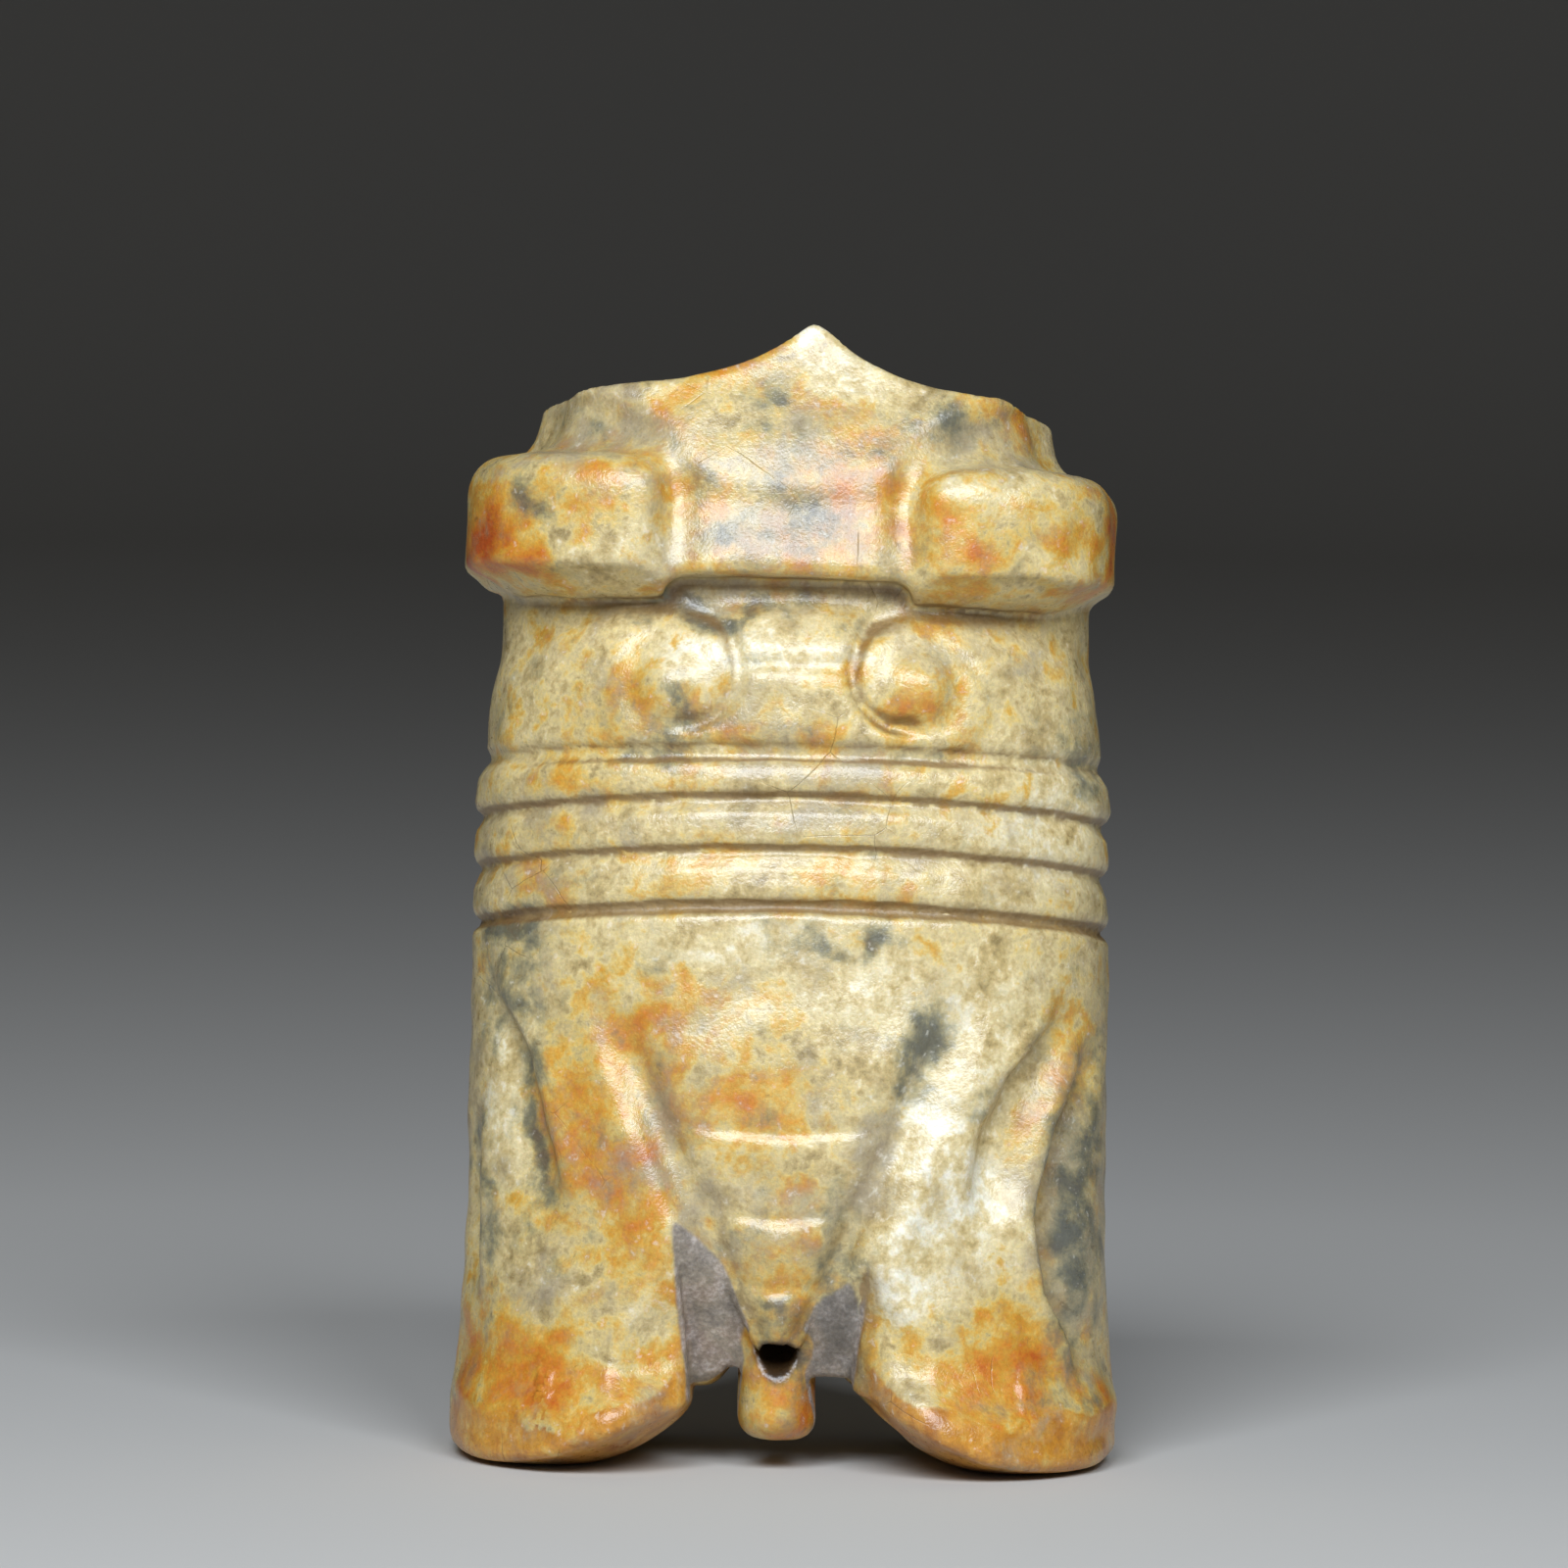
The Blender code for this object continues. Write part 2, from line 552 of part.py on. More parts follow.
def settle(field, points, cell, rounds=4):
    """Moves points onto the zero surface along the field's slope."""
    small = cell * 0.05
    for _ in range(rounds):
        value = field(*points.T)
        ahead = [field(*(points + small * axis).T) for axis in np.eye(3)]
        behind = [field(*(points - small * axis).T) for axis in np.eye(3)]
        slope = np.stack([a - b for a, b in zip(ahead, behind)], 1) / (2 * small)
        move = -value[:, None] * slope / np.maximum((slope**2).sum(1), 0.2)[:, None]
        length = np.maximum(np.linalg.norm(move, axis=1), 1e-12)
        points = points + move * np.minimum(1.0, 0.3 * cell / length)[:, None]
    return points


def blank_box():
    """The lowest and highest corner of a box that holds the whole standing piece."""
    side = BODY_HALF_WIDTH + max(WING_SPREAD, EYE_PROUD - HEAD_INSET) + MARGIN
    reach = max(BODY_FRONT, HEAD_FRONT) + FLARE_REACH + MARGIN
    lean = HEIGHT * math.sin(LEAN)
    return (-side, -reach, -MARGIN), (side, max(BODY_BACK, HEAD_BACK) + lean + MARGIN, HEIGHT + MARGIN)


def jade():
    material = bpy.data.materials.new("polished_mottled_jade")
    material.use_nodes = True
    shader = material.node_tree.nodes["Principled BSDF"]
    shader.inputs["Base Color"].default_value = (0.60, 0.43, 0.21, 1.0)
    shader.inputs["Roughness"].default_value = 0.25
    shader.inputs["Metallic"].default_value = 0.0
    return material


def carve():
    """One closed mesh of the standing carving, placed with its lowest middle point at the origin."""
    points, quads = surface_net(standing, *blank_box(), CELLS)
    points = settle(standing, points, min(CELLS))
    mesh = bpy.data.meshes.new("jade_cicada")
    mesh.from_pydata(points.tolist(), [], quads.tolist())
    carving = bpy.data.objects.new("jade_cicada", mesh)
    bpy.context.scene.collection.objects.link(carving)
    fewer = carving.modifiers.new("fewer_faces", "DECIMATE")
    fewer.ratio = min(1.0, TRIANGLES / (2 * len(quads)))
    graph = bpy.context.evaluated_depsgraph_get()
    thinned = bpy.data.meshes.new_from_object(carving.evaluated_get(graph))
    carving.modifiers.clear()
    carving.data = thinned
    corners = np.array([vertex.co for vertex in thinned.vertices])
    lowest, highest = corners.min(0), corners.max(0)
    for vertex in thinned.vertices:
        vertex.co.x -= 0.5 * (lowest[0] + highest[0])
        vertex.co.y -= 0.5 * (lowest[1] + highest[1])
        height = vertex.co.z - lowest[2]
        vertex.co.z = height if height > FLAT_WITHIN else 0.0
    thinned.materials.append(jade())
    thinned.shade_smooth()
    thinned.set_sharp_from_angle(angle=math.radians(40))
    return carving


for leftover in list(bpy.data.objects):
    bpy.data.objects.remove(leftover)
carve()
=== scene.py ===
# %% [markdown]
# # A jade cicada, carved from one stone
# This lesson rebuilds a small carved pendant: a cicada standing on its wing tips, 35 mm tall, in mottled
# jade. Such pieces were cut from one pebble with abrasive cord, drill and wheel, then polished by hand.
# So there is one piece here too, and its surface has three jobs: the form, the fine wear and the colour
# of the stone. The measured model of the part is the fixed frame, and nothing in it is moved.

# %% Load the frame
import math

import bpy
import numpy as np
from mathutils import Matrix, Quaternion, Vector


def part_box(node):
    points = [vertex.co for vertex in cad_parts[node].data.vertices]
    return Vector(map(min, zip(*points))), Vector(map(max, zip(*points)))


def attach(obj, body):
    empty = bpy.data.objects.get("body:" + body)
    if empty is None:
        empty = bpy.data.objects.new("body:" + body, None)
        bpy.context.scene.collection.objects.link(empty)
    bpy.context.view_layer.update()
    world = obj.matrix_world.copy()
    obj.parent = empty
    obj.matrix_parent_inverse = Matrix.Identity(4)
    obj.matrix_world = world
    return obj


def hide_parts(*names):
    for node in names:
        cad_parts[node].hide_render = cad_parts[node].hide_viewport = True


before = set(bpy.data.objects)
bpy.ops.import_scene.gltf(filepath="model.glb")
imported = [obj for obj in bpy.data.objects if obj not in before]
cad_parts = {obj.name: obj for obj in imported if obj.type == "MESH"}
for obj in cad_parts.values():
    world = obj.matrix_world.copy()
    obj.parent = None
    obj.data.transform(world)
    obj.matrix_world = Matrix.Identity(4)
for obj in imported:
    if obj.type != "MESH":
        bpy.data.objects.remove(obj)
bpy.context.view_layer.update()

MM = 0.001
cad_low, cad_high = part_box("jade_cicada")
print("frame:", [round(size / MM, 2) for size in cad_high - cad_low], "mm")

# %% [markdown]
# ## Smooth steps
# Carved stone has no perfect corners: wheel and polish round each one. A mesh of bevels could copy that
# edge by edge. A field does it in one go: a function that gives, for any point, about how far it lies from
# the surface, negative inside the stone. Two forms are then joined or cut with a chosen rounding, and
# these few helpers are all the tools that the carver needs.

# %% Steps, lines and roundings
def ramp(value, start, end):
    """0 at start and 1 at end, with a smooth rise between."""
    t = np.clip((value - start) / (end - start), 0.0, 1.0)
    return t * t * (3.0 - 2.0 * t)


def within(value, start, full, fade, end):
    """1 along a stretch, with a smooth rise before it and a smooth fall after it."""
    return ramp(value, start, full) * (1.0 - ramp(value, fade, end))


def through(value, stations):
    """Passes through (place, amount) stations, flat at each."""
    amount = stations[0][1]
    for (place, low), (next_place, high) in zip(stations, stations[1:]):
        amount = amount + (high - low) * ramp(value, place, next_place)
    return amount


def straight(value, stations):
    """Passes straight from one (place, amount) station to the next."""
    places, amounts = zip(*sorted(stations))
    return np.interp(value, places, amounts)


def mound(distance, width):
    """1 at the middle of a line, falling to nothing at a few widths."""
    return np.exp(-((distance / width) ** 2))


def join(a, b, fillet):
    """Adds two forms, with a fillet where they meet."""
    t = np.clip(0.5 + 0.5 * (b - a) / fillet, 0.0, 1.0)
    return b + (a - b) * t - fillet * t * (1.0 - t)


def common(a, b, rounding):
    """What two forms share, with its edge rounded."""
    return -join(-a, -b, rounding)


def cut(a, b, rounding):
    """The first form without the second."""
    return common(a, -b, rounding)

print("helpers:", ramp(0.5, 0.0, 1.0), mound(0.0, 1.0))

# %% [markdown]
# ## The blank
# The pebble was first sawn to a D: a rounded back, which carries the carving, and a flatter belly. A
# superellipse gives such a section from two depths and a squareness. Places on the carved back are then
# named by their turn round the stone and their height, as a carver would mark them out.

# %% Sizes of the blank
HEIGHT = 0.0350
LEAN = math.radians(5.5)
TAIL_OFFSET = -0.0002
CUT_OFFSET = -0.0004
CRISP = 0.0002
SOFT = 0.0004
BODY_HALF_WIDTH = 0.00995
BODY_FRONT = 0.0064
BODY_BACK = 0.0050
FRONT_SQUARENESS = 2.25
BACK_SQUARENESS = 3.2
FACE_TURNS = (math.radians(86), math.radians(109))
WING_SPREAD = 0.00045
WING_SPREAD_FROM = 0.0080


def section(x, y, half_width, front, back, front_squareness, back_squareness):
    """A D-section: about the distance from its wall."""
    depth = np.where(y < 0, front, back)
    power = np.where(y < 0, front_squareness, back_squareness)
    share = (np.abs(x / half_width) ** power + np.abs(y / depth) ** power) ** (1.0 / power)
    share = np.maximum(share, 0.05)
    return np.hypot(x, y) * (1.0 - 1.0 / share)


def turn_of(x, y):
    """The turn of a point, negative to the left."""
    return np.arctan2(x / BODY_HALF_WIDTH, -y / BODY_FRONT)

print("blank:", round(2 * BODY_HALF_WIDTH / MM, 2), "mm wide")

# %% [markdown]
# ## Ribs
# Three ribs run round the body under the collar. On the real piece each one is a saw tooth with its edges
# worn round: it rises to a crest near its lower edge and drops into a groove. Rings swept along a curve
# could do this, but they would lie on the stone instead of being cut into it. A profile by height, taken
# off the blank, keeps them in the stone, and a little sag carries them down at the sides.

# %% Ribs
RIB_GROOVES = (0.0202, 0.0186, 0.0169)
RIB_PITCH = 0.0016
RIB_PROFILE = ((0.0, 1.0), (0.14, 0.25), (0.30, 0.0), (0.70, 0.40), (0.80, 0.90))
RIB_BANK = 0.0003
RIB_SINK = 0.00018
RIB_SAG = 0.00050
RIB_SAG_BY = math.radians(86)
RIB_TURNS = (math.radians(121), math.radians(140))
GROOVE_DEPTH = 0.00015
GROOVE_WIDTH = 0.00022


def rib_relief(turn, z):
    """The three ribs, which sag a little at the sides and fade out on the plain belly."""
    above = RIB_GROOVES[0] + RIB_PITCH
    z = z + RIB_SAG * ramp(np.abs(turn), 0.0, RIB_SAG_BY) * ramp(z, above + RIB_PITCH, RIB_GROOVES[0])
    sunk = [(RIB_GROOVES[-1] - RIB_BANK, 0.0), (above, 1.0), (above + RIB_BANK, 0.0)]
    for groove in RIB_GROOVES:
        sunk += [(groove + share * RIB_PITCH, amount) for share, amount in RIB_PROFILE]
    relief = -RIB_SINK * straight(z, sunk)
    for groove in RIB_GROOVES:
        relief = relief - GROOVE_DEPTH * mound(z - groove, GROOVE_WIDTH)
    return relief * (1.0 - ramp(np.abs(turn), *RIB_TURNS))

print("ribs:", len(RIB_GROOVES))

# %% [markdown]
# ## Collar and scrolls
# The collar is a smooth band with a bevelled top. Each side has a scroll, which on such pieces stands for
# the shoulder of the insect: a drilled boss in a moat, with a groove that curls in under it. A tube drill
# made the moat, and the curl was ground by hand, so it is drawn in polar terms about the boss.

# %% Collar and scrolls
COLLAR_TOP = 0.0258
COLLAR_BOTTOM = 0.0215
COLLAR_INSET = 0.00035
COLLAR_TAPER = 0.00035
COLLAR_TURN_IN = 0.0006
COLLAR_BEVEL = 0.0014
COLLAR_BEVEL_SLOPE = math.radians(27)
COLLAR_STEP = 0.0243
COLLAR_STEP_DEPTH = 0.00014
COLLAR_STEP_ENDS = (0.0012, 0.0019)
COLLAR_FOOT_DEPTH = 0.00016
COLLAR_FOOT_WIDTH = 0.00028
NECK_NARROWER = 0.0004
NECK_DEPTH = 0.0012
NECK_BACK_DEPTH = 0.0006
NECK_SLOPE = math.radians(52)
SCROLL_ACROSS = 0.0039
SCROLL_HEIGHT = 0.0236
LEFT_SCROLL_SHARE = 0.75
BOSS_RADIUS = 0.00115
BOSS_RISE = 0.00040
BOSS_ROUND = 1.4
MOAT_RADIUS = 0.0014
MOAT_DEPTH = 0.00008
CURL = ((110, 0.0024), (172, 0.0021), (190, 0.0019), (214, 0.0016), (250, 0.0012))
CURL_DEPTH = 0.00028
CURL_ENDS = (250, 290)
CURL_START = 80
LOBE = ((-100, 0.0020), (-60, 0.0024), (-19, 0.0028), (25, 0.0019), (60, 0.0018))
LOBE_FADE = 20
LOBE_DEPTH = 0.00008
SCROLL_LINE = 0.00028


def scroll_relief(u, z):
    """A boss in a moat, a groove that curls in under it, and a faint lobe on its outer side."""
    side = np.abs(u) - SCROLL_ACROSS
    up = z - SCROLL_HEIGHT
    radius = np.hypot(side, up)
    angle = np.degrees(np.arctan2(up, side))
    boss = BOSS_RISE * np.clip(1.0 - (radius / BOSS_RADIUS) ** 2, 0.0, 1.0) ** BOSS_ROUND
    moat = MOAT_DEPTH * mound(radius - MOAT_RADIUS, SCROLL_LINE)
    inward = np.where(angle < 0.0, angle + 360.0, angle)
    curl = CURL_DEPTH * mound(radius - straight(inward, CURL), SCROLL_LINE)
    curl = curl * within(inward, CURL_START, CURL[0][0], *CURL_ENDS)
    lobe = LOBE_DEPTH * mound(radius - straight(angle, LOBE), SCROLL_LINE)
    first, last = LOBE[0][0], LOBE[-1][0]
    lobe = lobe * within(angle, first - LOBE_FADE, first, last, last + LOBE_FADE)
    return (boss - moat - curl - lobe) * np.where(u < 0, LEFT_SCROLL_SHARE, 1.0)


def collar_relief(u, z):
    """The collar's step across the middle, its sunk lower edge, and the scrolls at the sides."""
    middle = 1.0 - ramp(np.abs(u), *COLLAR_STEP_ENDS)
    step = COLLAR_STEP_DEPTH * middle * mound(z - COLLAR_STEP, SCROLL_LINE)
    foot = COLLAR_FOOT_DEPTH * mound(z - COLLAR_BOTTOM, COLLAR_FOOT_WIDTH)
    return scroll_relief(u, z) - step - foot

print("scrolls:", 2, "with bosses", 2 * BOSS_RADIUS / MM, "mm across")

# %% [markdown]
# ## Abdomen
# Between the wings the abdomen narrows to a V, with three faint segment lines and two low knobs near its
# tip. The borders of the V are soft valleys. They are cut by the distance from two slanting lines, which
# keeps the valleys even in width however long they run.

# %% Abdomen
V_TIP = 0.0033
V_TIP_HALF_WIDTH = 0.00065
V_SLOPE = 0.442
V_TOP = 0.0148
V_TOP_FADE = 0.0030
V_GROOVE_DEPTH = 0.00032
V_GROOVE_WIDTH = 0.00065
ABDOMEN_RISE = 0.00022
ABDOMEN_EDGE = 0.0009
ABDOMEN_DROP = 0.0008
ABDOMEN_DROP_HEIGHTS = (0.0020, 0.0110)
ABDOMEN_DROP_TURNS = (math.radians(11.5), math.radians(19.6))
SEGMENTS = (0.0102, 0.0076, 0.0054)
SEGMENT_DEPTH = 0.00009
SEGMENT_WIDTH = 0.00020
SEGMENT_SWELL = 0.0006
SEGMENT_SAG = 0.0003
KNOBS = ((0.00645, 0.0011, 0.00022), (0.00455, 0.0005, 0.00014))
ROLL_RISE = 0.00028
ROLL_WIDTH = 0.0010
ROLL_AWAY = 0.0013
ROLL_HEIGHTS = (0.0080, 0.0145)


def v_half_width(z):
    return V_TIP_HALF_WIDTH + V_SLOPE * (z - V_TIP)


def abdomen_relief(x, z):
    """The V of the abdomen with its segments and knobs, and the wings' rolled inner edges beside it."""
    across = x - TAIL_OFFSET
    away = (np.abs(across) - v_half_width(z)) * math.cos(math.atan(V_SLOPE))
    inside = 1.0 - ramp(away, -ABDOMEN_EDGE, 0.0)
    groove = V_GROOVE_DEPTH * mound(away, V_GROOVE_WIDTH)
    raised = ABDOMEN_RISE * inside
    sagged = z + SEGMENT_SAG * np.clip(1.0 - np.abs(across) / np.maximum(v_half_width(z), SOFT), 0.0, 1.0)
    for line in SEGMENTS:
        lifted = mound(sagged - line + SEGMENT_SWELL, SEGMENT_SWELL) - mound(sagged - line, SEGMENT_WIDTH)
        raised = raised + SEGMENT_DEPTH * inside * lifted
    for height, radius, rise in KNOBS:
        raised = raised + rise * mound(np.hypot(across, z - height), radius)
    below_top = 1.0 - ramp(z, V_TOP - V_TOP_FADE, V_TOP)
    roll = ROLL_RISE * mound(away - ROLL_AWAY, ROLL_WIDTH) * (1.0 - ramp(z, *ROLL_HEIGHTS))
    return (raised - groove) * below_top + roll

print("abdomen:", len(SEGMENTS), "segments and", len(KNOBS), "knobs")

# %% [markdown]
# ## Wings
# The folded wings are the sides of the stone. Long flutes suggest their veins, each with a steep inner
# side and a ridge beside it, and towards the tips the stone flares out and the inner edges are bevelled.

# %% Wings
FLUTE_DEPTH = 0.00058
FLUTE_WIDTH = 0.00075
FLUTE_FADE = 0.0013
FLUTE_END = 0.0014
RIDGE_SHARE = 0.45
RIDGE_AWAY = 0.0012
RIDGE_WIDTH = 0.0007
# Each flute: how deep, then its (turn in degrees, height) from its top to its foot
FLUTES = (
    (0.85, (-65, 0.0142), (-55, 0.0123), (-50, 0.0100), (-46, 0.0080)),
    (1.00, (56, 0.0136), (45, 0.0118), (39, 0.0099), (37, 0.0080)),
    (1.35, (66, 0.0122), (58, 0.0105), (52, 0.0074), (54, 0.0052), (62, 0.0036)),
    (0.80, (-74, 0.0098), (-72, 0.0055)),
)
CUT_HALF_WIDTHS = ((0.0010, 0.0024), (0.0075, 0.0030))
CUT_TOP_LEFT = 0.0072
CUT_TOP_RIGHT = 0.0063
BEVEL_WIDTHS = ((0.0026, 0.0026), (0.0038, 0.0020), (0.0048, 0.0013), (0.0062, 0.0007), (0.0074, 0.0004))
BEVEL_SLOPE = 0.75
BEVEL_CURVE = 1.25
BEVEL_END = 0.0012
BEVEL_BLEND = 0.0006
FLARE_FROM = 0.0075
FLARE_REACH = 0.0016
FLARE_TURNS = tuple(math.radians(angle) for angle in (9, 20, 63, 86))


def flute(turn, z, points):
    """A flute down a line of points: a ridge and a steep side inwards, a fading one outwards."""
    heights = [height for _, height in reversed(points)]
    line = np.interp(z, heights, [math.radians(angle) for angle, _ in reversed(points)])
    outward = BODY_HALF_WIDTH * (turn - line) * math.copysign(1.0, points[0][0])
    profile = np.where(outward < 0, mound(outward, FLUTE_WIDTH), mound(outward, FLUTE_FADE))
    profile = profile - RIDGE_SHARE * mound(outward + RIDGE_AWAY, RIDGE_WIDTH)
    foot, top = heights[0], heights[-1]
    return profile * within(z, foot - FLUTE_END, foot + FLUTE_END, top - FLUTE_END, top + FLUTE_END)


def wing_relief(turn, z):
    """The long flutes down the wings."""
    relief = np.zeros_like(z)
    for share, *points in FLUTES:
        relief = relief - FLUTE_DEPTH * share * flute(turn, z, points)
    return relief


def cut_half_width(z):
    """Half the distance between the two wings' inner edges."""
    return through(z, CUT_HALF_WIDTHS)


def cut_top(x):
    return np.where(x < TAIL_OFFSET, CUT_TOP_LEFT, CUT_TOP_RIGHT)


def bevel_relief(x, z):
    """The wings' inner edges turn down towards the saw cuts, wider and deeper near the tips."""
    from_edge = np.abs(x - CUT_OFFSET) - cut_half_width(z)
    width = straight(z, BEVEL_WIDTHS)
    slope = np.clip(1.0 - from_edge / width, 0.0, 1.0)
    on_wing = ramp(from_edge, -BEVEL_BLEND, 0.0)
    return -BEVEL_SLOPE * width * slope**BEVEL_CURVE * on_wing * ramp(cut_top(x) - z, 0.0, BEVEL_END)

print("flutes:", len(FLUTES))

# %% [markdown]
# ## Body, neck and head
# The body is the blank with all of this relief, its width drawn in at the collar and spread at the foot.
# The head has a pointed snout, a raised middle panel and a scoop over each eye. The eyes are rounded
# tablets that wrap its corners and overhang the neck. Each is a form of its own, joined with a fillet.

# %% Body and neck
HEAD_BOTTOM = 0.0270
EYE_HEIGHT = 0.0035


def body(x, y, z):
    """Everything below the neck, before the wing tips are shaped."""
    turn = turn_of(x, y)
    away = np.abs(turn)
    spread = WING_SPREAD * (1.0 - ramp(z, 0.0, WING_SPREAD_FROM))
    inset = COLLAR_INSET * ramp(z, COLLAR_BOTTOM - COLLAR_TURN_IN, COLLAR_BOTTOM + COLLAR_TURN_IN)
    taper = COLLAR_TAPER * ramp(z, COLLAR_BOTTOM, COLLAR_TOP)
    half_width = BODY_HALF_WIDTH + spread - inset - taper
    drop = (1.0 - ramp(z, *ABDOMEN_DROP_HEIGHTS)) * (1.0 - ramp(away, *ABDOMEN_DROP_TURNS))
    flare = np.clip(1.0 - z / FLARE_FROM, 0.0, 1.0) ** 2
    flare = flare * within(away, *FLARE_TURNS)
    front = BODY_FRONT - ABDOMEN_DROP * drop + FLARE_REACH * flare
    wall = section(x, y, half_width, front, BODY_BACK, FRONT_SQUARENESS, BACK_SQUARENESS)
    u = BODY_HALF_WIDTH * turn
    carved = collar_relief(u, z) + abdomen_relief(x, z) + wing_relief(turn, z) + bevel_relief(x, z)
    relief = rib_relief(turn, z) + carved * (1.0 - ramp(away, *FACE_TURNS))
    form = wall
    for start, slope in ((COLLAR_TOP - COLLAR_BEVEL, COLLAR_BEVEL_SLOPE), (COLLAR_TOP, NECK_SLOPE)):
        inwards = COLLAR_BEVEL * math.tan(COLLAR_BEVEL_SLOPE) if start == COLLAR_TOP else 0.0
        plane = (z - start) * math.sin(slope) + (wall + inwards) * math.cos(slope)
        form = common(form, plane, SOFT)
    return form - relief


def neck(x, y, z):
    half_width = BODY_HALF_WIDTH - COLLAR_INSET - NECK_NARROWER
    front = BODY_FRONT - NECK_DEPTH
    wall = section(x, y, half_width, front, BODY_BACK - NECK_BACK_DEPTH, FRONT_SQUARENESS, BACK_SQUARENESS)
    return np.maximum(wall, np.maximum(z - HEAD_BOTTOM - EYE_HEIGHT, COLLAR_BOTTOM - z))

print("body and neck ready")

# %% Head
HEAD_OFFSET = -0.00025
HEAD_TILT = math.radians(0.9)
HEAD_SHIFT = math.radians(1.8)
HEAD_INSET = 0.00075
HEAD_NARROWING = ((0.0270, 0.0), (0.0332, 0.0013))
HEAD_FRONT = 0.0065
HEAD_SLOPE = ((0.0270, 0.0), (0.0295, 0.0005), (0.0350, 0.0023))
HEAD_BACK = 0.0046
HEAD_SQUARENESS = 3.2
SNOUT_OFFSET = 0.0004
SNOUT_RISE = 0.0022
SNOUT_REACH_LEFT = 0.0022
SNOUT_REACH_RIGHT = 0.0020
SNOUT_ROUND = 0.00015
SNOUT_CURVE = 1.12
SNOUT_FADE = (0.0004, 0.0075)
SNOUT_FADED = 0.8
CREST_FALL_BACK = 0.11
PANEL_HALF_WIDTHS = ((0.0270, 0.0034), (0.0298, 0.0034), (0.0317, 0.0047), (0.0331, 0.0074))
SCOOP_DEPTH = 0.00060
SCOOP_FILLET = 0.0011
SCOOP_ENDS = 0.0020


def crest_height(x, y):
    """The top of the head: a pointed snout between concave shoulders, fading into a slope at the back."""
    reach = np.hypot(x - SNOUT_OFFSET, SNOUT_ROUND) - SNOUT_ROUND
    reach = reach / np.where(x < SNOUT_OFFSET, SNOUT_REACH_LEFT, SNOUT_REACH_RIGHT)
    front = HEAD_FRONT - HEAD_SLOPE[-1][1]
    snout = SNOUT_RISE * np.exp(-(reach**SNOUT_CURVE))
    behind = np.maximum(y + front, 0.0)
    fade = 1.0 - SNOUT_FADED * ramp(behind, *SNOUT_FADE)
    return HEIGHT - SNOUT_RISE + snout * fade - CREST_FALL_BACK * behind


def scoop_relief(x, y, z):
    """The head is hollowed above and beside the eyes, outside its raised middle panel."""
    outside = ramp(np.abs(x) - straight(z, PANEL_HALF_WIDTHS), -SCOOP_FILLET, SCOOP_FILLET)
    return -SCOOP_DEPTH * outside * ramp(-y, 0.0, SCOOP_ENDS)


def head(x, y, z):
    half_width = BODY_HALF_WIDTH - HEAD_INSET - through(z, HEAD_NARROWING)
    front = HEAD_FRONT - through(z, HEAD_SLOPE)
    wall = section(x, y, half_width, front, HEAD_BACK, HEAD_SQUARENESS, BACK_SQUARENESS)
    wall = wall - scoop_relief(x, y, z)
    form = common(wall, z - crest_height(x, y), CRISP)
    return common(form, HEAD_BOTTOM - z, SOFT)

print("snout:", round(SNOUT_RISE / MM, 2), "mm tall")

# %% Eyes
EYE_BOTTOM_GAP = 0.0002
EYE_RIGHT_LOWER = 0.0001
EYE_PROUD = 0.00095
EYE_FRONT_PROUD = 0.0004
EYE_BACK = 0.0034
EYE_SQUARENESS = 3.4
EYE_BACK_SQUARENESS = 2.6
EYE_INNER = 0.0039
EYE_CORNER = 0.0014
EYE_FILLET = 0.0009
EYE_UNDERCUT = 0.50
EYE_UNDERCUT_REACH = 0.0018


def eyes(x, y, z):
    half_width = BODY_HALF_WIDTH - HEAD_INSET + EYE_PROUD
    front = HEAD_FRONT + EYE_FRONT_PROUD
    wall = section(x, y, half_width, front, EYE_BACK, EYE_SQUARENESS, EYE_BACK_SQUARENESS)
    inner = EYE_INNER - np.abs(x)
    eye_bottom = HEAD_BOTTOM + EYE_BOTTOM_GAP
    top = z - eye_bottom - EYE_HEIGHT + EYE_RIGHT_LOWER * (x > 0)
    bottom = eye_bottom - EYE_UNDERCUT * np.clip(-wall, 0.0, EYE_UNDERCUT_REACH) - z
    side = common(common(wall, inner, EYE_CORNER), top, EYE_CORNER)
    return common(side, bottom, CRISP)

print("eyes:", EYE_HEIGHT / MM, "mm tall")

# %% [markdown]
# ## Wing tips, saw cuts, tail and hole
# The wing tips end in a lip with a convex underside, ground to a small flat where the piece stands. Two
# saw cuts free the tip of the abdomen, with the blunt tail and the drilled hole for the cord below it.
# The cuts were left as the saw made them, so their faces are matt and grey in the finish further down.

# %% Underside of the wing tips
LIP_OUTER = 0.0009
LIP_INNER_LEFT = 0.0034
LIP_INNER_RIGHT = 0.0040
LIP_CURVE_LEFT = 1.9
LIP_CURVE_RIGHT = 4.0
LIP_ROUND = 0.00035
LIP_REACH = 0.0058
FOOT_ACROSS = 0.0067
FOOT_INNER_REACH = 0.0040
FOOT_INNER_RISE = 0.0020
FOOT_OUTER_REACH = 0.0034
FOOT_OUTER_RISE = 0.0004
FOOT_FRONT = -0.0016
FOOT_FLAT = 0.00015
BELLY_ARCH = 0.0036
UNDERSIDE_SLOPE = math.radians(32)
TAIL_FRONT = 0.0050
TAIL_BACK = 0.0012


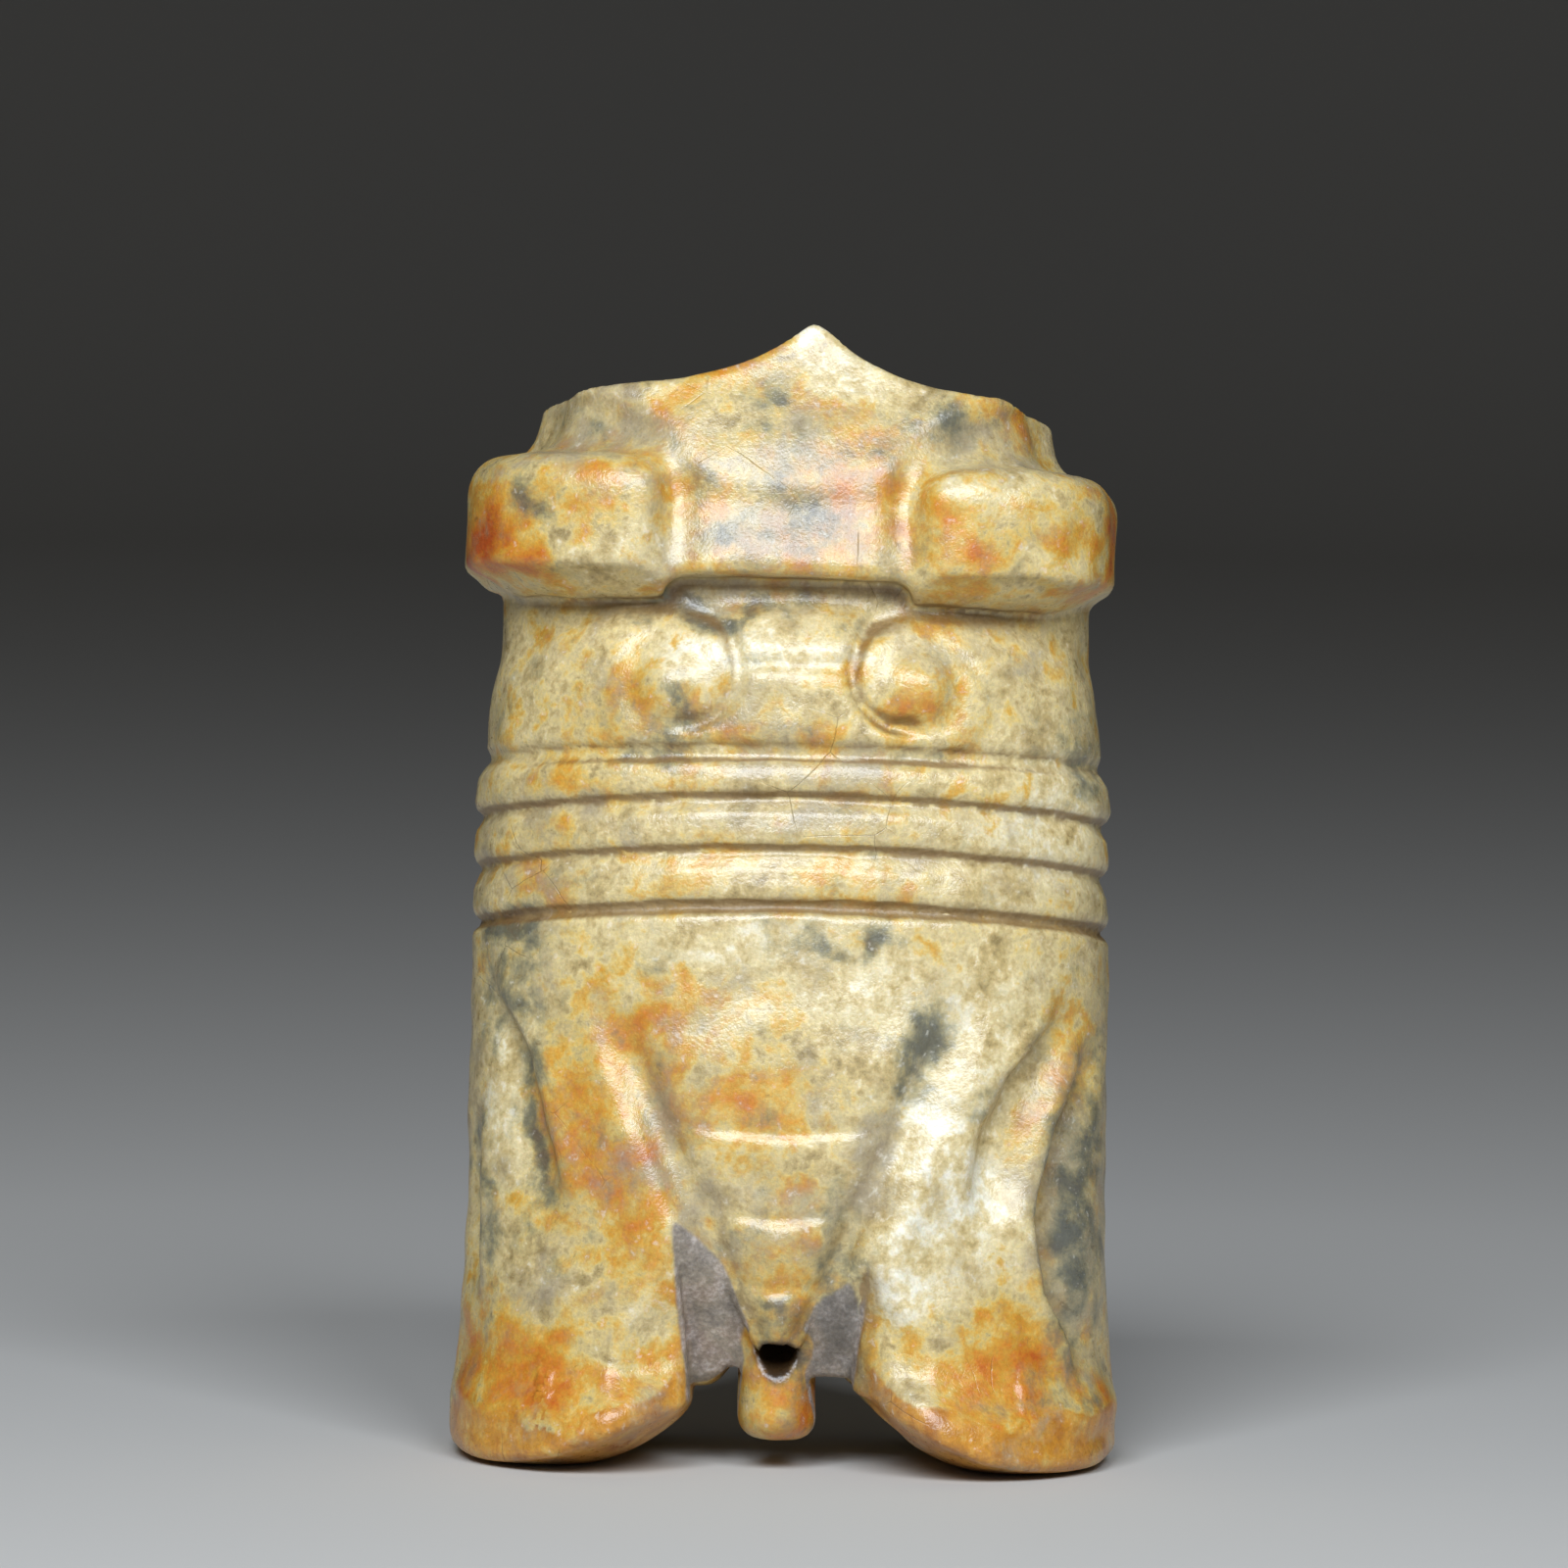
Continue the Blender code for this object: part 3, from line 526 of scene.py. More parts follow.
def underside(x, y):
    """Height of the underside of a wing tip: convex, lowest at the foot, highest at the front lip."""
    across = np.abs(x)
    inward = FOOT_INNER_RISE * (np.maximum(FOOT_ACROSS - across, 0.0) / FOOT_INNER_REACH) ** 2
    outward = FOOT_OUTER_RISE * (np.maximum(across - FOOT_ACROSS, 0.0) / FOOT_OUTER_REACH) ** 2
    foot = np.minimum(inward + outward, FOOT_INNER_RISE + BELLY_ARCH * ramp(y, -TAIL_FRONT, -TAIL_BACK))
    innermost = CUT_HALF_WIDTHS[0][1]
    inwards = np.clip((BODY_HALF_WIDTH - across) / (BODY_HALF_WIDTH - innermost), 0.0, 1.0)
    inner = np.where(x < 0, LIP_INNER_LEFT, LIP_INNER_RIGHT)
    lip = LIP_OUTER + (inner - LIP_OUTER) * inwards ** np.where(x < 0, LIP_CURVE_LEFT, LIP_CURVE_RIGHT)
    forward = np.clip((FOOT_FRONT - y) / LIP_REACH, 0.0, 2.0)
    return foot + np.maximum(lip - foot, 0.0) * forward**2

print("lips, inner ends:", round(LIP_INNER_LEFT / MM, 1), "and", round(LIP_INNER_RIGHT / MM, 1), "mm up")

# %% Saw cuts, arch, tail and hole
CUT_DEPTH_PER_FALL = 0.55
ARCH_TOP = 0.0022
TAIL_HALF_WIDTH = 0.0012
TAIL_TOP = 0.0060
TAIL_BOTTOM = 0.0006
TAIL_ROUND = 0.0008
HOLE_RADIUS = 0.0006
HOLE_HEIGHT = 0.0032
HOLE_RISE = math.radians(38)


def saw_cuts(x, y, z):
    """Two slots between the wings and the abdomen's tip, deeper as they come down."""
    below_tip = ramp(V_TIP - z, 0.0, SOFT)
    v_side = v_half_width(z) - np.abs(x - TAIL_OFFSET) - (V_TIP_HALF_WIDTH + TAIL_HALF_WIDTH) * below_tip
    floor = y + BODY_FRONT - CUT_DEPTH_PER_FALL * (cut_top(x) - z)
    slot = np.maximum(np.abs(x - CUT_OFFSET) - cut_half_width(z), v_side)
    return common(slot, floor * math.cos(math.atan(CUT_DEPTH_PER_FALL)), CRISP)


def arch(x, z):
    """The open space between the two wing tips, under the belly."""
    return np.maximum(np.abs(x - CUT_OFFSET) - CUT_HALF_WIDTHS[0][1], z - ARCH_TOP)


def tail(x, y, z):
    """The blunt tail below the abdomen's tip."""
    middle = 0.5 * (TAIL_FRONT + TAIL_BACK)
    depth = (y + middle) / (0.5 * (TAIL_FRONT - TAIL_BACK))
    wall = (np.hypot((x - TAIL_OFFSET) / TAIL_HALF_WIDTH, depth) - 1.0) * TAIL_HALF_WIDTH
    return common(common(wall, TAIL_BOTTOM - z, TAIL_ROUND), z - TAIL_TOP, CRISP)


def hole(x, y, z):
    """The drilled hole, rising from under the abdomen's tip to the belly."""
    up = (z - HOLE_HEIGHT) - (y + TAIL_FRONT) * math.tan(HOLE_RISE)
    return np.hypot(x - TAIL_OFFSET, up * math.cos(HOLE_RISE)) - HOLE_RADIUS

print("hole:", 2 * HOLE_RADIUS / MM, "mm")

# %% The whole stone, leaning back on its wing tips
def stone(x, y, z, floor_side):
    """The whole carving, upright. floor_side trims the wing tips only."""
    form = body(x, y, z)
    form = cut(form, saw_cuts(x, y, z), CRISP)
    form = cut(form, arch(x, z), SOFT)
    form = common(form, floor_side, LIP_ROUND)
    form = join(form, tail(x, y, z), CRISP)
    form = join(form, neck(x, y, z), CRISP)
    head_x = x - HEAD_OFFSET - math.tan(HEAD_SHIFT) * (z - HEAD_BOTTOM)
    head_z = z + math.tan(HEAD_TILT) * head_x
    form = join(form, join(head(head_x, y, head_z), eyes(head_x, y, head_z), EYE_FILLET), CRISP)
    return cut(form, hole(x, y, z), 0.5 * CRISP)


def standing(x, y, z):
    """The carving leaning back on its wing tips, which are ground flat where they touch."""
    upright_y = y * math.cos(LEAN) - z * math.sin(LEAN)
    upright_z = y * math.sin(LEAN) + z * math.cos(LEAN)
    floor_side = (underside(x, y) - FOOT_FLAT - z) * math.cos(UNDERSIDE_SLOPE)
    return common(stone(x, upright_y, upright_z, floor_side), -z, 0.5 * CRISP)

print("lean:", round(math.degrees(LEAN), 1), "degrees")

# %% [markdown]
# ## From field to mesh
# A remesh modifier could wrap a surface round this form, but it needs a mesh to begin with. A surface net
# is short enough to write out: fill a grid with the field, put one point in each cell that the surface
# crosses, and join neighbours with quads. A few Newton steps along the slope then settle every point on
# the true surface, which keeps polished stone free of grid marks.

# %% Squares without diagonals
def without_diagonals(value, least):
    """Fills squares whose solid corners touch only across a diagonal, so the surface never meets itself."""
    value = value.copy()
    while True:
        found = 0
        for first, second in ((0, 1), (1, 2), (2, 0)):
            view = np.moveaxis(value, (first, second), (0, 1))
            squares = (view[:-1, :-1], view[1:, 1:], view[1:, :-1], view[:-1, 1:])
            solid = [square < 0 for square in squares]
            crossed = (solid[0] == solid[1]) & (solid[2] == solid[3]) & (solid[0] != solid[2])
            found += np.count_nonzero(crossed)
            for square in squares:
                square[crossed] = np.minimum(square[crossed], -least)
        if not found:
            return value

print("a crossed square, filled:", without_diagonals(np.array([[[-1.0, 1.0], [1.0, -1.0]]]), 0.1).ravel())

# %% Surface net
LEAST_DEPTH = 0.02


def surface_net(field, low, high, cells):
    """Points and quads on the zero surface of a field, with one point in each grid cell that it crosses."""
    axes = [np.arange(start, end + cell, cell) for start, end, cell in zip(low, high, cells)]
    value = without_diagonals(field(*np.meshgrid(*axes, indexing="ij")), LEAST_DEPTH * min(cells))
    solid = value < 0
    shape = np.array(value.shape)
    sums = np.zeros((4, value.size))
    quads = []
    for axis in range(3):
        ahead = np.roll(np.arange(3), -axis)
        start = [slice(None)] * 3
        end = [slice(None)] * 3
        start[axis] = slice(None, -1)
        end[axis] = slice(1, None)
        crossing = np.argwhere(solid[tuple(start)] != solid[tuple(end)])
        here = value[tuple(crossing.T)]
        step = np.zeros(3, int)
        step[axis] = 1
        there = value[tuple((crossing + step).T)]
        point = crossing * np.array(cells) + np.array([a[0] for a in axes])
        point[:, axis] += cells[axis] * here / (here - there)
        corners = []
        for back in ((0, 0), (1, 0), (1, 1), (0, 1)):
            cell_at = crossing.copy()
            cell_at[:, ahead[1]] -= back[0]
            cell_at[:, ahead[2]] -= back[1]
            number = np.ravel_multi_index(tuple(cell_at.T), shape)
            corners.append(number)
            for k in range(3):
                sums[k] += np.bincount(number, point[:, k], value.size)
            sums[3] += np.bincount(number, minlength=value.size)
        quad = np.stack(corners, 1)
        quads.append(np.where((here < 0)[:, None], quad, quad[:, ::-1]))
    quads = np.concatenate(quads)
    used, quads = np.unique(quads, return_inverse=True)
    points = (sums[:3, used] / sums[3, used]).T
    return points, quads.reshape(-1, 4)

print("filled corners lie", LEAST_DEPTH, "cells deep")

# %% Settling the points
PROBE = 0.05
LONGEST_MOVE = 0.3
LEAST_SLOPE = 0.2


def slope_of(field, points, small):
    """How fast the field grows at each point, along the three axes."""
    ahead = [field(*(points + small * axis).T) for axis in np.eye(3)]
    behind = [field(*(points - small * axis).T) for axis in np.eye(3)]
    return np.stack([a - b for a, b in zip(ahead, behind)], 1) / (2 * small)


def lengths(rows):
    """The length of each row, never quite zero, so that it can divide."""
    return np.maximum(np.linalg.norm(rows, axis=1), 1e-12)[:, None]


def settle(field, points, cell, rounds=4):
    """Moves points onto the zero surface along the field's slope."""
    for _ in range(rounds):
        slope = slope_of(field, points, PROBE * cell)
        move = -field(*points.T)[:, None] * slope / np.maximum((slope**2).sum(1), LEAST_SLOPE)[:, None]
        points = points + move * np.minimum(1.0, LONGEST_MOVE * cell / lengths(move))
    return points

print("a point moves at most", LONGEST_MOVE, "cells in a round")

# %% The mesh
MARGIN = 0.0015


def blank_box():
    """The lowest and highest corner of a box that holds the whole standing piece."""
    side = BODY_HALF_WIDTH + max(WING_SPREAD, EYE_PROUD - HEAD_INSET) + MARGIN
    reach = max(BODY_FRONT, HEAD_FRONT) + FLARE_REACH + MARGIN
    lean = HEIGHT * math.sin(LEAN)
    return (-side, -reach, -MARGIN), (side, max(BODY_BACK, HEAD_BACK) + lean + MARGIN, HEIGHT + MARGIN)

CELLS = ((0.00021, 0.00021, 0.000155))
points, quads = surface_net(standing, *blank_box(), CELLS)
points = settle(standing, points, min(CELLS))
print("mesh:", len(quads), "quads")

# %% [markdown]
# ## Reading the surface
# Wear and dirt follow the form: hollows keep brown patina, and edges are rubbed round. The brown laid in
# the hollows is partly that patina and partly painted shade. Baked occlusion would need a render. The field
# already knows: a short way out from a flat face it has grown by just that way, and by less over a hollow.
# The same look inwards finds the edges.

# %% Slopes, hollows and edges
NORMAL_PROBE = 0.00001
FINE_REACH = 0.0003
BROAD_REACH = 0.0012
EDGE_REACH = 0.0005
NEAR_SHARE = 0.1


def hollow(points, outward, reach):
    """How much the stone closes in round each point, as a share of the reach."""
    near = standing(*(points + NEAR_SHARE * reach * outward).T) / NEAR_SHARE
    far = standing(*(points + reach * outward).T)
    return np.clip((near - far) / reach, -1.0, 1.0)


outward = slope_of(standing, points, NORMAL_PROBE)
outward = outward / lengths(outward)
fine_hollow = hollow(points, outward, FINE_REACH)
broad_hollow = hollow(points, outward, BROAD_REACH)
edge = np.clip(hollow(points, -outward, EDGE_REACH), 0.0, 1.0)
print("hollows:", round(float(fine_hollow.max()), 2), "edges:", round(float(edge.max()), 2))

# %% [markdown]
# ## Saw faces
# Which points lie on the unpolished faces of the saw cuts? Those where the field of the cuts themselves
# is near zero. The wall of the hole is no saw face: it is painted dark, as painted shade inside the hole,
# and its mask is kept apart.

# %% Where the saw went
SAWN_WITHIN = 0.00016
BORED_WITHIN = 0.00025
NOT_SAWN_NEAR_HOLE = (0.0003, 0.0007)
upright_y = points[:, 1] * math.cos(LEAN) - points[:, 2] * math.sin(LEAN)
upright_z = points[:, 1] * math.sin(LEAN) + points[:, 2] * math.cos(LEAN)
upright = np.stack([points[:, 0], upright_y, upright_z], 1)
sawn = mound(saw_cuts(*upright.T), SAWN_WITHIN) * (upright_z < cut_top(upright[:, 0]))
from_hole = hole(*upright.T)
# The wall of the drilled hole, which the material paints dark as painted shade.
bore_shade = 1.0 - ramp(from_hole, 0.0, BORED_WITHIN)
sawn = sawn * ramp(from_hole, *NOT_SAWN_NEAR_HOLE)
print("sawn points:", int((sawn > 0.5).sum()))

# %% [markdown]
# ## Stains in the stone
# Buried jade takes up iron and earth: straw to rust where iron soaked in, a warm grey veil where the
# stone altered, moss to slate grey where it stayed green. A pattern could scatter these at random, but
# each stone is its own map. So the large stains are listed one by one, each by its place across and up
# the front in millimetres, its half width and half height, and its strength. Waves and noise fray them
# later.

# %% Iron and rust on the carved back
IRON = (
    ("snout, left slope", -0.6, 34.3, 0.5, 0.5, 0.7),
    ("crest, left", -4.0, 32.7, 1.2, 0.5, 0.6),
    ("crest, middle", 0.3, 32.8, 0.6, 0.3, 0.6),
    ("crest, right", 6.6, 32.4, 1.5, 0.5, 1.0),
    ("snout, left ridge", -1.6, 34.1, 1.3, 0.5, 0.95),
    ("panel", 0.6, 30.6, 2.4, 1.4, 0.85),
    ("panel, lower", 0.4, 28.6, 2.4, 0.9, 0.95),
    ("tail", 0.0, 2.0, 1.4, 2.2, 1.0),
    ("left border", -4.4, 10.2, 0.4, 2.4, 0.6),
    ("left eye", -6.4, 29.1, 2.3, 1.6, 0.75),
    ("left eye, outer", -9.6, 29.3, 0.9, 1.6, 0.6),
    ("right eye", 6.7, 28.9, 2.8, 1.6, 0.7),
    ("right eye, outer", 10.0, 29.2, 0.5, 1.6, 0.8),
    ("collar, left", -5.4, 23.3, 1.1, 1.3, 0.7),
    ("collar, middle", 0.9, 22.8, 0.6, 0.6, 0.6),
    ("collar, lower left", -1.4, 22.6, 1.4, 0.5, 0.35),
    ("right boss", 3.9, 23.5, 0.9, 0.8, 0.75),
    ("first rib, left", -6.9, 20.8, 1.3, 0.4, 0.65),
    ("first rib, right", 6.0, 20.8, 0.8, 0.4, 0.55),
    ("second rib, left", -7.6, 19.2, 0.6, 0.4, 0.6),
    ("third rib, left", -7.6, 17.7, 0.7, 0.45, 0.75),
    ("thorax, upper left", -3.4, 14.5, 0.9, 1.0, 0.65),
    ("thorax, left", -4.6, 13.4, 0.6, 0.6, 0.7),
    ("thorax, middle", 0.0, 13.7, 1.3, 0.6, 0.5),
    ("thorax, lower", -0.6, 12.1, 1.8, 0.6, 0.55),
    ("abdomen, left", -2.0, 11.3, 1.6, 0.6, 0.85),
    ("abdomen, middle", 0.2, 9.1, 0.6, 0.5, 0.65),
    ("left wing", -6.3, 10.9, 1.2, 2.2, 0.9),
    ("left wing, outer", -7.5, 7.6, 0.8, 1.6, 0.4),
    ("left wing, inner", -4.8, 8.7, 0.9, 1.6, 0.5),
    ("left tip", -4.5, 5.9, 1.2, 1.7, 0.6),
    ("left lip", -6.4, 2.0, 3.0, 0.9, 0.7),
    ("left bevel", -3.3, 4.3, 0.8, 1.6, 0.6),
    ("abdomen, tip", -0.4, 6.0, 1.4, 1.4, 0.6),
    ("right rim", 2.8, 3.6, 0.5, 1.1, 0.95),
    ("right lip", 7.6, 1.3, 2.8, 0.5, 0.7),
    ("right side", 9.1, 12.2, 0.9, 1.4, 0.65),
    ("right flute", 7.4, 11.2, 0.6, 1.6, 0.7),
)
RUST = (
    ("left eye, corner", -9.9, 28.0, 0.7, 0.9, 0.9),
    ("left eye, lower", -8.3, 27.8, 0.6, 0.4, 0.7),
    ("right eye, middle", 5.5, 28.6, 0.7, 0.8, 0.6),
    ("right eye, corner", 9.9, 28.6, 0.4, 1.1, 0.7),
    ("left wing, top", -5.7, 13.0, 0.8, 0.9, 0.25),
    ("left wing, side", -9.8, 2.6, 0.7, 1.4, 0.7),
    ("left tip", -8.0, 3.4, 1.3, 1.0, 0.9),
    ("left tip, speck", -6.9, 4.3, 0.3, 0.3, 0.7),
    ("right tip", 7.2, 3.5, 1.9, 1.2, 0.85),
    ("right rim", 4.0, 4.2, 0.4, 0.7, 0.5),
    ("right wing, side", 10.0, 1.8, 0.5, 0.8, 0.7),
)
print("iron and rust stains:", len(IRON) + len(RUST))

# %% Veil, moss and painted shade on the carved back
VEIL = (
    ("left scoop", -6.1, 31.8, 1.7, 0.8, 0.8),
    ("right scoop", 5.8, 31.7, 1.7, 0.9, 0.8),
    ("panel", 0.3, 30.6, 3.0, 1.8, 0.55),
    ("panel, lower", -0.9, 28.4, 2.8, 1.0, 0.6),
    ("right side", 9.2, 7.0, 1.2, 4.0, 0.9),
    ("under the collar", -0.5, 21.5, 2.8, 0.35, 0.6),
    ("second rib", -0.1, 19.9, 2.8, 0.35, 0.5),
    ("thorax, left", -5.8, 13.9, 0.6, 0.9, 0.7),
    ("left border", -3.9, 10.9, 0.6, 2.6, 0.7),
    ("left border, lower", -2.7, 8.0, 0.7, 1.2, 0.7),
    ("right border, lower", 2.4, 8.3, 0.6, 1.4, 0.7),
    ("right border", 3.0, 10.4, 0.5, 1.4, 0.8),
    ("abdomen", 0.0, 8.2, 1.4, 0.6, 0.5),
    ("left wing, lower", -8.2, 4.8, 1.3, 0.8, 0.6),
    ("right wing, lower", 6.1, 5.1, 1.6, 1.2, 0.45),
    ("right tip", 9.5, 2.8, 0.6, 0.9, 0.6),
)
MOSS_AND_SHADE = (
    ("head, left", -6.2, 32.2, 0.5, 0.4, 0.6),
    ("head, right", 4.4, 32.1, 0.8, 0.7, 0.6),
    ("crest", -1.0, 32.6, 0.9, 0.4, 0.45),
    ("panel, left edge", -2.9, 31.2, 0.5, 0.7, 0.5),
    ("panel", -2.2, 28.7, 0.5, 0.4, 0.65),
    ("left eye", -8.3, 29.4, 0.5, 0.6, 0.75),
    # Painted shade: the neck groove under the head's panel is darkened as if in its shadow.
    ("neck", -2.1, 26.5, 2.4, 0.35, 0.7),
    ("collar top", -1.3, 25.2, 0.8, 0.6, 0.4),
    ("collar, left", -3.5, 22.9, 0.5, 0.9, 0.7),
    ("collar, foot", -4.3, 21.7, 0.9, 0.35, 0.6),
    ("collar, right side", 9.2, 21.8, 0.8, 1.4, 0.6),
    ("under the ribs", 1.3, 16.3, 1.3, 0.4, 0.75),
    ("under the ribs, left", -8.6, 16.5, 1.2, 0.35, 0.75),
    ("left side", -8.7, 14.5, 0.7, 1.5, 0.65),
    # Painted shade: the valley of the left flute is darkened.
    ("left flute", -7.8, 10.5, 0.35, 2.1, 0.75),
    ("left strip", -9.2, 8.4, 0.35, 2.4, 0.6),
    ("right border, top", 4.6, 13.7, 0.55, 0.7, 0.85),
    ("right border", 4.0, 12.8, 0.6, 0.7, 0.85),
    ("right border, foot", 3.5, 11.9, 0.5, 0.6, 0.75),
    ("right wing", 5.1, 11.5, 0.9, 0.8, 0.4),
    ("right side", 9.0, 7.5, 0.9, 4.2, 0.68),
    # Painted shade: a dark line in the hollow under the abdomen's last segment.
    ("abdomen, tip", -0.5, 5.5, 0.8, 0.25, 0.8),
    # Painted shade: the tail is darkened where it lies back in shade under the abdomen's tip.
    ("tail", 0.0, 4.0, 0.9, 0.7, 0.8),
    # Painted shade: the right saw face is darkened as if in shade, here and again in the saw faces' colour.
    ("right cut", 1.8, 4.6, 0.55, 2.2, 0.95),
    ("panel, middle", 0.2, 29.9, 2.6, 1.8, 0.36),
)
print("veil and moss stains:", len(VEIL) + len(MOSS_AND_SHADE))

# %% Pale places and painted highlights on the carved back
PALE_AND_HIGHLIGHTS = (
    ("snout", 0.6, 34.6, 0.8, 0.9, 1.0),
    ("snout, right slope", 1.5, 33.5, 0.8, 0.7, 0.6),
    ("collar top", -0.8, 25.3, 2.8, 0.6, 0.7),
    ("collar, left", -3.5, 24.8, 0.8, 0.7, 0.7),
    ("ribs, right", 7.7, 20.0, 2.2, 1.8, 0.5),
    ("under the ribs", -1.9, 16.3, 2.2, 0.5, 0.6),
    ("thorax, right", 1.8, 14.8, 1.8, 1.2, 0.6),
    ("right wing, upper", 6.0, 13.9, 1.3, 1.5, 0.6),
    ("right wing, inner", 5.0, 9.0, 1.5, 2.7, 1.0),
    ("left wing, outer", -8.6, 11.2, 0.5, 2.2, 0.6),
    # Painted highlight: the rolled inner ridge of the left wing tip is lightened where it catches the light.
    ("left ridge", -4.0, 5.7, 0.5, 1.5, 0.8),
    # Painted highlights: the right wing's inner ridge beside the V is lightened along its length, here and
    # below.
    ("right ridge", 3.9, 8.5, 0.5, 2.6, 0.9),
    ("right ridge, lower", 3.3, 5.6, 0.5, 1.4, 1.0),
    ("left eye, lower", -5.6, 28.2, 2.0, 0.8, 0.7),
    ("right eye, upper", 5.4, 30.0, 2.2, 0.7, 0.7),
    ("right eye, lower", 8.0, 28.1, 1.2, 0.5, 0.5),
)
print("pale places:", len(PALE_AND_HIGHLIGHTS))

# %% [markdown]
# The belly was not made to be looked at, and its stains are fewer and broader. They are set the same way,
# in a second set of lists, and each list only reaches the side of the stone that it belongs to.

# %% Stains of the belly
BELLY_IRON = (
    ("head", -4.5, 29.5, 2.8, 2.0, 0.6),
    ("middle", 2.5, 18.0, 3.0, 4.5, 0.5),
    ("left wing", -7.0, 4.0, 3.0, 4.0, 0.8),
    ("right wing", 8.0, 3.0, 2.4, 3.0, 0.8),
)
BELLY_RUST = (
    ("left wing", -8.6, 1.8, 1.4, 1.6, 0.8),
    ("right wing", 7.4, 1.2, 1.6, 1.0, 0.6),
    ("head", 7.5, 28.6, 1.4, 1.2, 0.6),
)
BELLY_VEIL = (
    ("middle", -3.0, 13.0, 3.5, 4.0, 0.7),
    ("head", 1.0, 31.0, 4.0, 1.4, 0.5),
)
BELLY_MOSS = (
    ("left side", -8.0, 12.0, 1.5, 4.0, 0.6),
    ("right side", 6.5, 23.0, 2.0, 1.6, 0.6),
    ("middle", 1.0, 7.5, 2.0, 1.4, 0.5),
)
BELLY_PALE = (
    ("middle", 4.0, 11.0, 3.0, 3.0, 0.7),
    ("shoulder", -5.0, 23.5, 2.5, 1.6, 0.6),
)
STAINS = {
    "iron": (IRON, BELLY_IRON),
    "rust": (RUST, BELLY_RUST),
    "veil": (VEIL, BELLY_VEIL),
    "moss_and_shade": (MOSS_AND_SHADE, BELLY_MOSS),
    "pale": (PALE_AND_HIGHLIGHTS, BELLY_PALE),
}
print("belly stains:", sum(len(belly) for _, belly in STAINS.values()))

# %% Stains become masks
SIDES = (-0.001, 0.003)
FRAY = 0.00035
FRAY_SEEDS = (21, 71)
STAIN_FALL = 0.7
WAVES = 26
WAVE_LENGTHS = (0.0013, 0.0050)


def waves(points, seed):
    """Long shallow waves in all directions, mostly between -1.5 and 1.5 and never far past 3."""
    random = np.random.default_rng(seed)
    total = np.zeros(len(points))
    for _ in range(WAVES):
        direction = random.normal(size=3)
        direction = direction / np.linalg.norm(direction)
        length = WAVE_LENGTHS[0] * (WAVE_LENGTHS[1] / WAVE_LENGTHS[0]) ** random.random()
        total = total + np.sin(math.tau * (points @ direction) / length + math.tau * random.random())
    return total / math.sqrt(WAVES)


behind = ramp(points[:, 1], *SIDES)
ragged_x = points[:, 0] + FRAY * waves(points, FRAY_SEEDS[0])
ragged_z = points[:, 2] + FRAY * waves(points, FRAY_SEEDS[1])


def stained(front, belly):
    """How strongly each point is stained, from 0 to 1."""
    amount = np.zeros(len(points))
    for stains, share in ((front, 1.0 - behind), (belly, behind)):
        for _, across, height, half_width, half_height, strength in stains:
            from_middle = (ragged_x / MM - across) / half_width
            from_height = (ragged_z / MM - height) / half_height
            here = share * strength * np.exp(-STAIN_FALL * (from_middle**2 + from_height**2))
            amount = 1.0 - (1.0 - amount) * (1.0 - here)
    return amount


masks = {kind: stained(*sides) for kind, sides in STAINS.items()}
print("stained masks:", ", ".join(masks))

# %% [markdown]
# The lips of both wing tips stayed orange along their lower edges. A height alone would not find them,
# because the edge rises towards the saw cuts. So the stone is parted into narrow upright columns, the
# lowest point of each column is its edge, and the lip is what lies a short way above that.

# %% Lips of the wing tips
LIP = 0.0017
LIP_SOFT = 0.0003
LIP_SEED = 12
LIP_COLUMNS = 160
TIP_ACROSS = (0.0022, 0.0030)
TIP_DEPTHS = (-0.001, 0.001)
TIP_HEIGHTS = (0.0065, 0.0085)
column = np.clip((points[:, 0] / BODY_HALF_WIDTH * 0.5 + 0.5) * LIP_COLUMNS, 0, LIP_COLUMNS - 1).astype(int)
lower_edge = np.full(LIP_COLUMNS, 1.0)
in_front = points[:, 1] < 0.0
np.minimum.at(lower_edge, column[in_front], points[in_front, 2])
over_edge = points[:, 2] - lower_edge[column]
on_tip = ramp(np.abs(points[:, 0]), *TIP_ACROSS) * (1.0 - ramp(points[:, 1], *TIP_DEPTHS))
on_tip = on_tip * (1.0 - ramp(points[:, 2], *TIP_HEIGHTS)) * (1.0 - np.clip(sawn, 0.0, 1.0))
rim = on_tip * (1.0 - ramp(over_edge + FRAY * waves(points, LIP_SEED), LIP - LIP_SOFT, LIP + LIP_SOFT))
formed = {"hollow": fine_hollow, "broad_hollow": broad_hollow, "rim": rim, "sawn": sawn, "bore_shade": bore_shade}
masks.update({name: np.clip(values, 0.0, 1.0) for name, values in formed.items()})
print("masks:", ", ".join(masks))

# %% [markdown]
# ## Hand polish
# A hand-polished face is never quite flat, and its highlights wander. A displacement in the material
# would be lost on export, so the mesh itself is moved: a sum of long waves, mostly a few hundredths of a
# millimetre high, and worn edges. The wheel's softest marks are set here too: a low ridge on each wing
# beside the V, and on each tip a hollow with a line above the lip. Last come small chips and pits, on an
# eye's edge, the abdomen, a wing's inner ridge and the wing tips.

# %% Fine wear
WAVE_HEIGHT = 0.000035
WAVE_SEED = 3
EDGE_WEAR = 0.00009
EDGE_SEED = 8
FLAT_KEPT = 0.0008
V_RIDGE = 0.00008
V_RIDGE_AWAY = 0.0010
V_RIDGE_WIDTH = 0.0005
V_RIDGE_HEIGHTS = (0.0045, 0.0065, 0.0125, 0.0150)
LIP_LINE = 0.00015
LIP_LINE_WIDTH = 0.00055
BOWL_DEPTH = 0.00018
BOWL_ABOVE = 0.0016
BOWL_WIDTH = 0.0011
